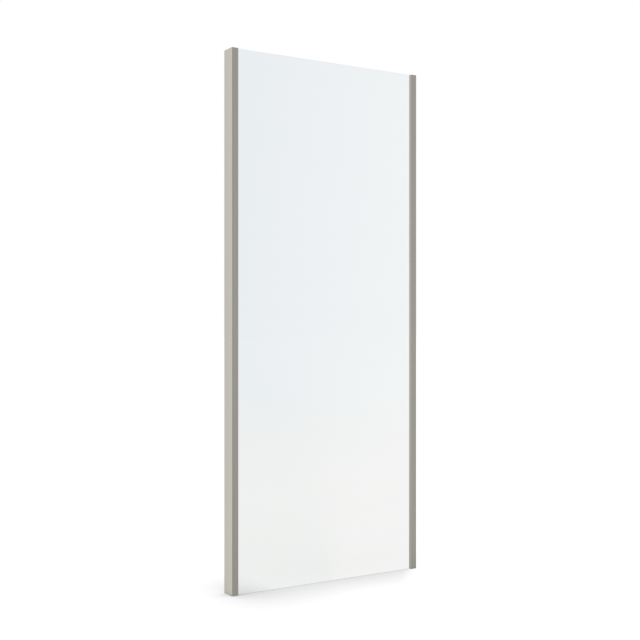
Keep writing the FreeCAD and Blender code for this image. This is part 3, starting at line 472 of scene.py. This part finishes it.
def turn_on_lathe(mesh_tools, outline, centre=Vector(), segments=32, closed=False):
    """Turns an outline of (radius, height) about the upright line through centre. An outline that
    ends on the axis makes a solid, and a closed one makes a ring."""
    rings = []
    for radius, height in outline:
        if radius == 0:
            rings.append([mesh_tools.verts.new(centre + Z * height)])
            continue
        ring = []
        for i in range(segments):
            turn = math.tau * i / segments
            spoke = X * math.cos(turn) + Y * math.sin(turn)
            ring.append(mesh_tools.verts.new(centre + spoke * radius + Z * height))
        rings.append(ring)
    faces = []
    for low, high in zip(rings, rings[1:] + rings[:1] if closed else rings[1:]):
        for i in range(segments):
            j = (i + 1) % segments
            corners = [
                low[i % len(low)], low[j % len(low)], high[j % len(high)], high[i % len(high)],
            ]
            faces.append(mesh_tools.faces.new(list(dict.fromkeys(corners))))
    bmesh.ops.recalc_face_normals(mesh_tools, faces=faces)
    for face in faces:
        face.smooth = True


def made_by_modifiers(shape):
    """What an object's modifiers make, as a plain mesh."""
    seen = shape.evaluated_get(bpy.context.evaluated_depsgraph_get())
    return bpy.data.meshes.new_from_object(seen)


# ---------------------------------------------------------------- hinge pins and washers
def domed(radius, height):
    """The outline of a low dome, from its rim to its top."""
    steps = 5
    outline = []
    for i in range(steps):
        turn = math.pi / 2 * i / steps
        outline.append((radius * math.cos(turn), height * math.sin(turn)))
    return [*outline, (0, height)]


def hinge_pin(node):
    """A straight pin with a chamfered tip and a domed button head."""
    low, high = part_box(node)
    centre = Vector(((low.x + high.x) / 2, (low.y + high.y) / 2, 0))
    shank, tip = 2 * MM, 0.4 * MM
    head_radius, head_height, rim = 3.2 * MM, 1 * MM, 0.3 * MM
    seat = high.z - head_height
    outline = [
        (0, low.z), (shank - tip, low.z), (shank, low.z + tip), (shank, seat), (head_radius, seat),
    ]
    for radius, height in domed(head_radius, head_height - rim):
        outline.append((radius, seat + rim + height))
    mesh_tools = bmesh.new()
    turn_on_lathe(mesh_tools, outline, centre)
    piece = new_piece(f"{node}_finished", mesh_tools, [FINISHES["fastener_steel"]])
    piece.data.set_sharp_from_angle(angle=SHARP)
    stand_for(piece, node)


def hinge_washers():
    """Nylon rings with softened rims, one in each gap between knuckles."""
    inner, soft, play = 2.1 * MM, 0.15 * MM, 0.02 * MM
    mesh_tools = bmesh.new()
    for low, high in solids_of("hinge_washers"):
        centre = (low + high) / 2
        outer = (high.x - low.x) / 2 - play
        half = (high.z - low.z) / 2
        turn_on_lathe(mesh_tools, [
            (inner, -half + soft), (inner + soft, -half),
            (outer - soft, -half), (outer, -half + soft),
            (outer, half - soft), (outer - soft, half),
            (inner + soft, half), (inner, half - soft),
        ], centre, closed=True)
    piece = new_piece("hinge_washers_finished", mesh_tools, [FINISHES["nylon"]])
    # the softened rims turn by 45 degrees and stay smooth
    piece.data.set_sharp_from_angle(angle=math.radians(50))
    stand_for(piece, "hinge_washers")


# ---------------------------------------------------------------- what repeats: screws and balls
# the steps of a screw's domed head turn by less than this, and its threads by more
THREAD_SHARP = math.radians(38)


def new_tree(name, sizes):
    """A geometry tree with an input for each size and for the finish."""
    tree = bpy.data.node_groups.new(name, "GeometryNodeTree")
    tree.interface.new_socket("Places", in_out="INPUT", socket_type="NodeSocketGeometry")
    for size, kind in sizes.items():
        tree.interface.new_socket(size, in_out="INPUT", socket_type=kind)
    tree.interface.new_socket("Finish", in_out="INPUT", socket_type="NodeSocketMaterial")
    tree.interface.new_socket("Made", in_out="OUTPUT", socket_type="NodeSocketGeometry")
    return tree, add(tree, "NodeGroupInput").outputs


def end_tree(tree, instances, finish):
    """Makes the instances real and gives them their finish."""
    real = add(tree, "GeometryNodeRealizeInstances", {"Geometry": instances})
    dressed = add(tree, "GeometryNodeSetMaterial", {
        "Geometry": real.outputs["Geometry"], "Material": finish,
    })
    add(tree, "NodeGroupOutput", {"Made": dressed.outputs["Geometry"]})


def run_tree(tree, points, name, **inputs):
    """Runs the tree on loose points and returns its result as a plain mesh object."""
    maker = points.modifiers.new("maker", "NODES")
    maker.node_group = tree
    for item in tree.interface.items_tree:
        given = inputs.get(item.name.lower().replace(" ", "_"))
        if item.in_out == "INPUT" and given is not None:
            maker[item.identifier] = given
    piece = bpy.data.objects.new(name, made_by_modifiers(points))
    bpy.data.objects.remove(points)
    scene.collection.objects.link(piece)
    return piece


def loose_points(places, ways=None):
    """A mesh of points only, each with the way that what stands on it looks, if it looks any."""
    mesh = bpy.data.meshes.new("places")
    mesh.from_pydata(places, [], [])
    if ways:
        attribute = mesh.attributes.new("way", "FLOAT_VECTOR", "POINT")
        attribute.data.foreach_set("vector", [number for way in ways for number in way])
    points = bpy.data.objects.new("places", mesh)
    scene.collection.objects.link(points)
    return points


def screw_head():
    """A pan head of radius 1 and height 1 that stands below its seat, with a cross recess."""
    mesh_tools = bmesh.new()
    turn_on_lathe(mesh_tools, [
        (0, 0), (1, 0), (1, -0.3), (0.97, -0.5), (0.9, -0.68), (0.76, -0.84), (0.55, -0.95),
        (0.3, -1), (0, -1),
    ], segments=24)
    head = new_piece("screw_head", mesh_tools, [])
    # half the length, half the width and the height of a slot of the cross, at its two ends
    mouth, bottom = (0.62, 0.14, -1.1), (0.34, 0.1, -0.3)
    mesh_tools = bmesh.new()
    for long_way, short_way in ((X, Y), (Y, X)):
        outer, inner = [
            [
                mesh_tools.verts.new(
                    long_way * long_half * a + short_way * short_half * b + Z * height)
                for a, b in CORNERS
            ]
            for long_half, short_half, height in (mouth, bottom)
        ]
        faces = [mesh_tools.faces.new(outer), mesh_tools.faces.new(inner[::-1])]
        for i in range(4):
            j = (i + 1) % 4
            faces.append(mesh_tools.faces.new([outer[j], outer[i], inner[i], inner[j]]))
        bmesh.ops.recalc_face_normals(mesh_tools, faces=faces)
    recess = new_piece("screw_recess", mesh_tools, [])
    cut = head.modifiers.new("recess", "BOOLEAN")
    cut.object = recess
    cut.operation = "DIFFERENCE"
    cut.solver = "EXACT"
    cut.use_self = True
    shaped = made_by_modifiers(head)
    head.modifiers.clear()
    head.data = shaped
    shaped.set_sharp_from_angle(angle=THREAD_SHARP)
    bpy.data.objects.remove(recess)
    return head


def screw_shank():
    """A threaded shank of radius 1 and length 1 with a short point."""
    turns, root, threaded = 7, 0.82, 0.9
    outline = [(0, 0)]
    for i in range(turns):
        outline += [(root, (i + 0.1) * threaded / turns), (1, (i + 0.6) * threaded / turns)]
    outline += [(root, 0.91), (0.45, 1), (0, 1)]
    mesh_tools = bmesh.new()
    turn_on_lathe(mesh_tools, outline, segments=16)
    shank = new_piece("screw_shank", mesh_tools, [])
    shank.data.set_sharp_from_angle(angle=THREAD_SHARP)
    return shank


def screw_tree(head, shank):
    """Pan-head screws: a head and a shank to size, one at each place, rolled by chance."""
    tree, given = new_tree("pan_head_screws", {
        "Head Radius": "NodeSocketFloat", "Head Height": "NodeSocketFloat",
        "Shank Radius": "NodeSocketFloat", "Shank Length": "NodeSocketFloat",
        "Seed": "NodeSocketInt",
    })
    halves = []
    for shape, radius, length in (
        (head, "Head Radius", "Head Height"), (shank, "Shank Radius", "Shank Length"),
    ):
        size = add(tree, "ShaderNodeCombineXYZ", {
            "X": given[radius], "Y": given[radius], "Z": given[length],
        })
        half = add(tree, "GeometryNodeObjectInfo", {"Object": shape})
        halves.append(add(tree, "GeometryNodeTransform", {
            "Geometry": half.outputs["Geometry"], "Scale": size.outputs["Vector"],
        }))
    screw = add(tree, "GeometryNodeJoinGeometry")
    for half in halves:
        tree.links.new(half.outputs["Geometry"], screw.inputs["Geometry"])
    way = add(tree, "GeometryNodeInputNamedAttribute", {"Name": "way"}, data_type="FLOAT_VECTOR")
    aimed = add(tree, "FunctionNodeAlignRotationToVector", {
        "Vector": way.outputs["Attribute"],
    }, axis="Z")
    least, most = 2, 3  # the sockets of a Random Value node of numbers
    chance = add(tree, "FunctionNodeRandomValue", {
        least: 0.0, most: math.tau, "Seed": given["Seed"],
    }, data_type="FLOAT")
    roll = add(tree, "FunctionNodeAxisAngleToRotation", {
        "Axis": (0, 0, 1), "Angle": chance.outputs[1],
    })
    turned = add(tree, "FunctionNodeRotateRotation", {
        "Rotation": aimed.outputs["Rotation"], "Rotate By": roll.outputs["Rotation"],
    }, rotation_space="LOCAL")
    stood = add(tree, "GeometryNodeInstanceOnPoints", {
        "Points": given["Places"], "Instance": screw.outputs["Geometry"],
        "Rotation": turned.outputs["Rotation"],
    })
    end_tree(tree, stood.outputs["Instances"], given["Finish"])
    return tree


def screws(tree, node, way):
    """The screws of one CAD part, all of one length. Each goes in along way, or away from the
    middle of the mirror where way is None."""
    head_radius, head_height, shank_radius = 3.35 * MM, 2.05 * MM, 1.7 * MM
    seat = 2.1 * MM  # how far the head's seat lies from its top
    places, ways = [], []
    for low, high in solids_of(node):
        middle = (low + high) / 2
        along = X * math.copysign(1, middle.x) if way is None else way
        reach = abs((high - low).dot(along)) / 2
        places.append(middle - along * (reach - seat))
        ways.append(along)
    piece = run_tree(
        tree, loose_points(places, ways), f"{node}_finished",
        head_radius=head_radius, head_height=head_height,
        shank_radius=shank_radius, shank_length=2 * reach - seat,
        seed=len(node), finish=FINISHES["fastener_steel"],
    )
    stand_for(piece, node)


def all_screws():
    """Every screw, by the way that it goes in."""
    head, shank = screw_head(), screw_shank()
    tree = screw_tree(head, shank)
    for node, way in {
        "bracket_screws": None, "moving_leaf_screws": None, "rail_screws": -Y,
        "strike_screws": -Y, "fixed_leaf_screws": Y, "slide_screws": Y, "catch_screws": Y,
    }.items():
        screws(tree, node, way)
    for shape in (head, shank):
        bpy.data.objects.remove(shape)


def ball_tree():
    """Two rows of bearing balls on the centre point of their cage."""
    tree, given = new_tree("ball_rows", {
        "Ball Radius": "NodeSocketFloat", "Balls": "NodeSocketInt",
        "Row Length": "NodeSocketFloat", "Row Spacing": "NodeSocketFloat",
    })
    rows = add(tree, "GeometryNodeMeshGrid", {
        "Size X": given["Row Length"], "Size Y": given["Row Spacing"],
        "Vertices X": given["Balls"], "Vertices Y": 2,
    })
    upright = add(tree, "GeometryNodeTransform", {
        "Geometry": rows.outputs["Mesh"], "Rotation": (math.pi / 2, 0, 0),
    })
    spread = add(tree, "GeometryNodeInstanceOnPoints", {
        "Points": given["Places"], "Instance": upright.outputs["Geometry"],
    })
    centres = add(tree, "GeometryNodeRealizeInstances", {"Geometry": spread.outputs["Instances"]})
    ball = add(tree, "GeometryNodeMeshIcoSphere", {
        "Radius": given["Ball Radius"], "Subdivisions": 3,
    })
    smooth = add(tree, "GeometryNodeSetShadeSmooth", {"Geometry": ball.outputs["Mesh"]})
    balls = add(tree, "GeometryNodeInstanceOnPoints", {
        "Points": centres.outputs["Geometry"], "Instance": smooth.outputs["Geometry"],
    })
    end_tree(tree, balls.outputs["Instances"], given["Finish"])
    return tree


def all_balls():
    """The balls of every cage, in the two rows that its box spans."""
    tree = ball_tree()
    radius = 2 * MM
    for node in [name for name in frame["nodes"] if name.startswith("balls_")]:
        low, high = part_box(node)
        piece = run_tree(
            tree, loose_points([(low + high) / 2]), f"{node}_finished", ball_radius=radius,
            balls=len(solids_of(node)) // 2, row_length=high.x - low.x - 2 * radius,
            row_spacing=high.z - low.z - 2 * radius, finish=FINISHES["ball_steel"],
        )
        stand_for(piece, node)


# ---------------------------------------------------------------- the object
def mirror_glass():
    """The pane: silver seen through its front face, ground edges, paint behind."""
    silver, ground, painted = range(3)
    square_on = 0.99

    def material_of(face):
        if face.normal.y < -square_on:
            return silver
        return painted if face.normal.y > square_on else ground

    materials = [silvered_glass(), ground_glass(), backing_paint()]
    finished("mirror_glass", materials, GLASS_EDGE, material_of)


mirror_glass()
hinge_washers()
all_screws()
all_balls()
for node in ("hinge_pin_lower", "hinge_pin_upper"):
    hinge_pin(node)
stood_for = {node for piece in scene.objects for node in piece.get("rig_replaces", [])}
for node in sorted(set(frame["nodes"]) - stood_for):
    slot = slot_of[node]
    finished(node, [FINISHES[slot]], EDGES[slot])


# ---------------------------------------------------------------- studio
# light, as shares of white
EVEN_LIGHT, EVEN_LIGHT_RIGHT = 0.513, 0.763  # from everywhere, and from the far right
WINDOW, WINDOW_LIGHT = (-0.95, 0.1, 0.3), 0.8  # the way to the window, and what it gives
LIT = 0.15  # how much of the lamp's light the floor gives back
# what that comes to near the object, far from it, and in the light that the floor throws on the
# object: the floor gives off that much less by itself
LAMP_NEAR, LAMP_FAR, LAMP_UNSEEN = LIT * 0.9, LIT * 0.82, LIT * 0.65
CLEAR = 1.11  # the open floor to the eye, a little above white so that it shows no grey
# how deep the painted contact shadow darkens that, at the left edge and further in
CONTACT_LEFT, CONTACT = 0.68, 0.52
# painted shade on the floor as the mirror shows it; the negative depth further in paints a trace of
# light there
MIRRORED_LEFT, MIRRORED = 0.55, -0.06  # the same in the mirror, further in a trace brighter

# places, in metres
FLOOR_HALF = 30
FLOOR_NEAR, FLOOR_FAR = 1, 7  # where the floor starts and ends to run into the surroundings
FOOT_HALF = 0.235  # half the width of the foot between the profiles
FOOT_SOFT = 0.03  # nearer to the foot than this, the floor's light fades into an even one
SHADOW_LEFT, SHADOW_MIDDLE = 0.28, 0.17  # how far the contact shadow reaches
CONTACT_FROM, MIRRORED_FROM = -0.1, -0.13  # where "further in" starts, from left to right
# the painted shadow ends along a soft line set by place, as if light came past the right-hand edge.
# At the foot of that edge the shadow fades out from x = LINE_SHADED to LINE_CLEAR, and on the way
# from y = LINE_FROM to LINE_TO the line shifts to the left by LINE_SHIFT
LINE_SHADED, LINE_CLEAR = 0.2, 0.27
LINE_FROM, LINE_TO, LINE_SHIFT = -0.03, -0.28, 0.2

# directions: the sideways part of those that the mirror shows, and of those between which the
# light from the right grows
LEFT, RIGHT = 0.45, 0.6
RIGHT_LIGHT, RIGHT_MOST = 0.3, 1
FLOOR_FACING = (0.7, 0.55, 0.45)  # from the floor in front: to the right, back and up


def to_the_right(tree, way):
    """How far to the right a direction lies, from 0 at the left of the mirror to 1 at its right."""
    parts = add(tree, "ShaderNodeSeparateXYZ", {"Vector": way}).outputs
    return add(tree, "ShaderNodeMapRange", {
        "Value": parts["X"], "From Min": LEFT, "From Max": RIGHT,
    }).outputs["Result"]


def white_ahead(tree, way):
    """The white that the mirror shows along a direction: cooler to the left, brighter to the
    right."""
    return add(tree, "ShaderNodeMix", {
        SHARE: to_the_right(tree, way), FIRST: paint("#F3F5FB"), SECOND: paint("#FBFBFF"),
    }, data_type="RGBA").outputs[MIXED]


def light_from(tree, way):
    """The studio's light along a direction: even all round, with more from a window on the left
    and a little more from the right, so that faces that look different ways differ in tone."""
    facing = add(tree, "ShaderNodeVectorMath", {0: way, 1: WINDOW}, operation="DOT_PRODUCT")
    window = add(tree, "ShaderNodeMath", {
        0: facing.outputs["Value"], 1: 0,
    }, operation="MAXIMUM")
    parts = add(tree, "ShaderNodeSeparateXYZ", {"Vector": way}).outputs
    even = add(tree, "ShaderNodeMapRange", {
        "Value": parts["X"], "From Min": RIGHT_LIGHT, "From Max": RIGHT_MOST,
        "To Min": EVEN_LIGHT, "To Max": EVEN_LIGHT_RIGHT,
    })
    return add(tree, "ShaderNodeMath", {
        0: window.outputs["Value"], 1: WINDOW_LIGHT, 2: even.outputs["Result"],
    }, operation="MULTIPLY_ADD").outputs["Value"]


def seen_white(tree):
    """Two sockets: 1 for a ray that shows the studio itself, to the eye, in the mirror or through
    glass, and 1 for a ray to the eye alone."""
    path = add(tree, "ShaderNodeLightPath").outputs
    sharp = add(tree, "ShaderNodeMath", {
        0: path["Is Glossy Ray"], 1: path["Is Singular Ray"],
    }, operation="MULTIPLY").outputs["Value"]
    through = add(tree, "ShaderNodeMath", {
        0: sharp, 1: path["Is Transmission Ray"],
    }, operation="MAXIMUM").outputs["Value"]
    seen = add(tree, "ShaderNodeMath", {
        0: path["Is Camera Ray"], 1: through,
    }, operation="MAXIMUM").outputs["Value"]
    return seen, path["Is Camera Ray"]


def surroundings():
    """A white studio, to the eye and in the mirror, that lights the object from every side."""
    world = bpy.data.worlds.new("studio")
    scene.world = world
    world.use_nodes = True
    tree = world.node_tree
    tree.nodes.clear()
    way = add(tree, "ShaderNodeTexCoord").outputs["Generated"]
    seen, to_eye = seen_white(tree)
    shown = add(tree, "ShaderNodeMix", {
        SHARE: to_eye, FIRST: white_ahead(tree, way), SECOND: WHITE,
    }, data_type="RGBA")
    lights = add(tree, "ShaderNodeBackground", {
        "Color": WHITE, "Strength": light_from(tree, way),
    })
    white = add(tree, "ShaderNodeBackground", {"Color": shown.outputs[MIXED], "Strength": 1})
    mixed = add(tree, "ShaderNodeMixShader", {
        0: seen, 1: lights.outputs[0], 2: white.outputs[0],
    })
    add(tree, "ShaderNodeOutputWorld", {"Surface": mixed.outputs[0]})


def floor_colour(tree, place, far, to_eye):
    """White to the eye. In the mirror it is a warm white that runs into the surroundings."""
    way = add(tree, "ShaderNodeVectorMath", {0: place}, operation="NORMALIZE").outputs["Vector"]
    near = add(tree, "ShaderNodeMix", {
        SHARE: to_the_right(tree, way), FIRST: paint("#F8F7F9"), SECOND: paint("#FCFAFC"),
    }, data_type="RGBA")
    mirrored = add(tree, "ShaderNodeMix", {
        SHARE: far, FIRST: near.outputs[MIXED], SECOND: white_ahead(tree, way),
    }, data_type="RGBA")
    return add(tree, "ShaderNodeMix", {
        SHARE: to_eye, FIRST: mirrored.outputs[MIXED], SECOND: (CLEAR, CLEAR, CLEAR, 1),
    }, data_type="RGBA").outputs[MIXED]


def painted_contact_shadow(tree, where, to_eye):
    """A painted contact shadow: the share of the floor's white glow that the object leaves. The
    glow is darkened by how much of the floor the object shuts in, set deepest at the left edge of
    its foot by place on the floor."""
    reach = add(tree, "ShaderNodeMapRange", {
        "Value": where["X"], "From Min": -HALF_WIDTH, "From Max": 0,
        "To Min": SHADOW_LEFT, "To Max": SHADOW_MIDDLE,
    })
    shut_in = add(tree, "ShaderNodeAmbientOcclusion", {
        "Distance": reach.outputs["Result"], "Normal": FLOOR_FACING,
    }, samples=12)
    ahead = add(tree, "ShaderNodeMapRange", {
        "Value": where["Y"], "From Min": LINE_FROM, "From Max": LINE_TO,
        "To Min": 0, "To Max": LINE_SHIFT,
    })
    # painted shadow: a line set by place on the floor, not the edge of a cast shadow, cuts the
    # shadow off at the right
    past = add(tree, "ShaderNodeMath", {
        0: where["X"], 1: ahead.outputs["Result"],
    }, operation="ADD")
    # painted shadow: its depth is set by place, deepest at the left edge of the foot
    deepest = add(tree, "ShaderNodeMapRange", {
        "Value": where["X"], "From Min": -HALF_WIDTH, "From Max": CONTACT_FROM,
        "To Min": CONTACT_LEFT, "To Max": CONTACT,
    })
    to_the_eye = add(tree, "ShaderNodeMapRange", {
        "Value": past.outputs["Value"], "From Min": LINE_SHADED, "From Max": LINE_CLEAR,
        "To Min": deepest.outputs["Result"], "To Max": 0,
    }, interpolation_type="SMOOTHSTEP")
    # painted shade on the floor as the mirror shows it, deeper at the left edge; further in it
    # turns to a trace of painted light
    in_mirror = add(tree, "ShaderNodeMapRange", {
        "Value": where["X"], "From Min": -HALF_WIDTH, "From Max": MIRRORED_FROM,
        "To Min": MIRRORED_LEFT, "To Max": MIRRORED,
    })
    depth = add(tree, "ShaderNodeMapRange", {
        "Value": to_eye, "To Min": in_mirror.outputs["Result"],
        "To Max": to_the_eye.outputs["Result"],
    })
    covered = add(tree, "ShaderNodeMath", {
        0: 1, 1: shut_in.outputs["AO"],
    }, operation="SUBTRACT")
    shade = add(tree, "ShaderNodeMath", {
        0: covered.outputs["Value"], 1: depth.outputs["Result"],
    }, operation="MULTIPLY")
    return add(tree, "ShaderNodeMath", {
        0: 1, 1: shade.outputs["Value"],
    }, operation="SUBTRACT").outputs["Value"]


def light_off_the_floor(tree, where):
    """The floor throws the light of the direction in which it lies from the nearest part of the
    foot, and an even light at the foot itself."""
    foot = add(tree, "ShaderNodeMapRange", {
        "Value": where["X"], "From Min": -FOOT_HALF, "From Max": FOOT_HALF,
        "To Min": -FOOT_HALF, "To Max": FOOT_HALF,
    })
    beyond = add(tree, "ShaderNodeMath", {
        0: where["X"], 1: foot.outputs["Result"],
    }, operation="SUBTRACT")
    from_foot = add(tree, "ShaderNodeCombineXYZ", {
        "X": beyond.outputs["Value"], "Y": where["Y"], "Z": 0,
    }).outputs["Vector"]
    gap = add(tree, "ShaderNodeVectorMath", {0: from_foot}, operation="LENGTH")
    damped = add(tree, "ShaderNodeMath", {
        0: gap.outputs["Value"], 1: FOOT_SOFT,
    }, operation="ADD")
    shrink = add(tree, "ShaderNodeMath", {0: 1, 1: damped.outputs["Value"]}, operation="DIVIDE")
    towards = add(tree, "ShaderNodeVectorMath", {
        0: from_foot, "Scale": shrink.outputs["Value"],
    }, operation="SCALE")
    return light_from(tree, towards.outputs["Vector"])


def floor():
    """A plain white floor that runs into the surroundings and keeps the object's shadow, painted
    into its own glow.
    """
    mesh_tools = bmesh.new()
    mesh_tools.faces.new([
        mesh_tools.verts.new((x * FLOOR_HALF, y * FLOOR_HALF, 0)) for x, y in CORNERS
    ])
    material = bpy.data.materials.new("white_studio_floor")
    material.use_nodes = True
    tree = material.node_tree
    tree.nodes.clear()
    seen, to_eye = seen_white(tree)
    place = add(tree, "ShaderNodeTexCoord").outputs["Object"]
    away = add(tree, "ShaderNodeVectorMath", {0: place}, operation="LENGTH")
    far = add(tree, "ShaderNodeMapRange", {
        "Value": away.outputs["Value"], "From Min": FLOOR_NEAR, "From Max": FLOOR_FAR,
    }, interpolation_type="SMOOTHSTEP").outputs["Result"]
    shown = floor_colour(tree, place, far, to_eye)
    where = add(tree, "ShaderNodeSeparateXYZ", {"Vector": place}).outputs
    # the floor's glow less its painted contact shadow
    open_part = painted_contact_shadow(tree, where, to_eye)
    lamp_share = add(tree, "ShaderNodeMapRange", {
        "Value": far, "To Min": LAMP_NEAR, "To Max": LAMP_FAR,
    })
    glow = add(tree, "ShaderNodeMath", {
        0: open_part, 1: lamp_share.outputs["Result"],
    }, operation="SUBTRACT")
    unseen = add(tree, "ShaderNodeMath", {
        0: light_off_the_floor(tree, where), 1: LAMP_UNSEEN,
    }, operation="SUBTRACT")
    # the inputs and the output of a Mix node of numbers
    strength = add(tree, "ShaderNodeMix", {
        0: seen, 2: unseen.outputs["Value"], 3: glow.outputs["Value"],
    }, data_type="FLOAT").outputs[0]
    tint = add(tree, "ShaderNodeMix", {
        SHARE: seen, FIRST: WHITE, SECOND: shown,
    }, data_type="RGBA")
    white = add(tree, "ShaderNodeEmission", {"Color": tint.outputs[MIXED], "Strength": strength})
    lit = add(tree, "ShaderNodeBsdfDiffuse", {"Color": (LIT, LIT, LIT, 1)})
    both = add(tree, "ShaderNodeAddShader", {0: lit.outputs[0], 1: white.outputs[0]})
    add(tree, "ShaderNodeOutputMaterial", {"Surface": both.outputs[0]})
    piece = new_piece("floor", mesh_tools, [material])


def lamp(name, place, size, watts):
    """A square softbox that looks at the middle of the object."""
    data = bpy.data.lights.new(name, "AREA")
    data.shape = "SQUARE"
    data.size = size
    data.energy = watts
    box = bpy.data.objects.new(name, data)
    box.location = place
    ahead = Z * HALF_HEIGHT - Vector(place)
    box.rotation_euler = ahead.to_track_quat("-Z", "Y").to_euler()
    scene.collection.objects.link(box)


def camera():
    """Stands off the front left at half the mirror's height and looks level."""
    data = bpy.data.cameras.new("camera")
    data.sensor_width = 36
    data.lens = 58.22
    data.shift_y = 0.0028
    stand = bpy.data.objects.new("camera", data)
    stand.location = (-1.263, -2.058, HALF_HEIGHT)
    stand.rotation_euler = (math.radians(90), 0, math.radians(-31.403))
    scene.collection.objects.link(stand)
    scene.camera = stand


surroundings()
floor()
lamp("top_softbox", place=(0.9, 0.5, 3.4), size=2.4, watts=18)
camera()
scene.view_settings.view_transform = "Standard"
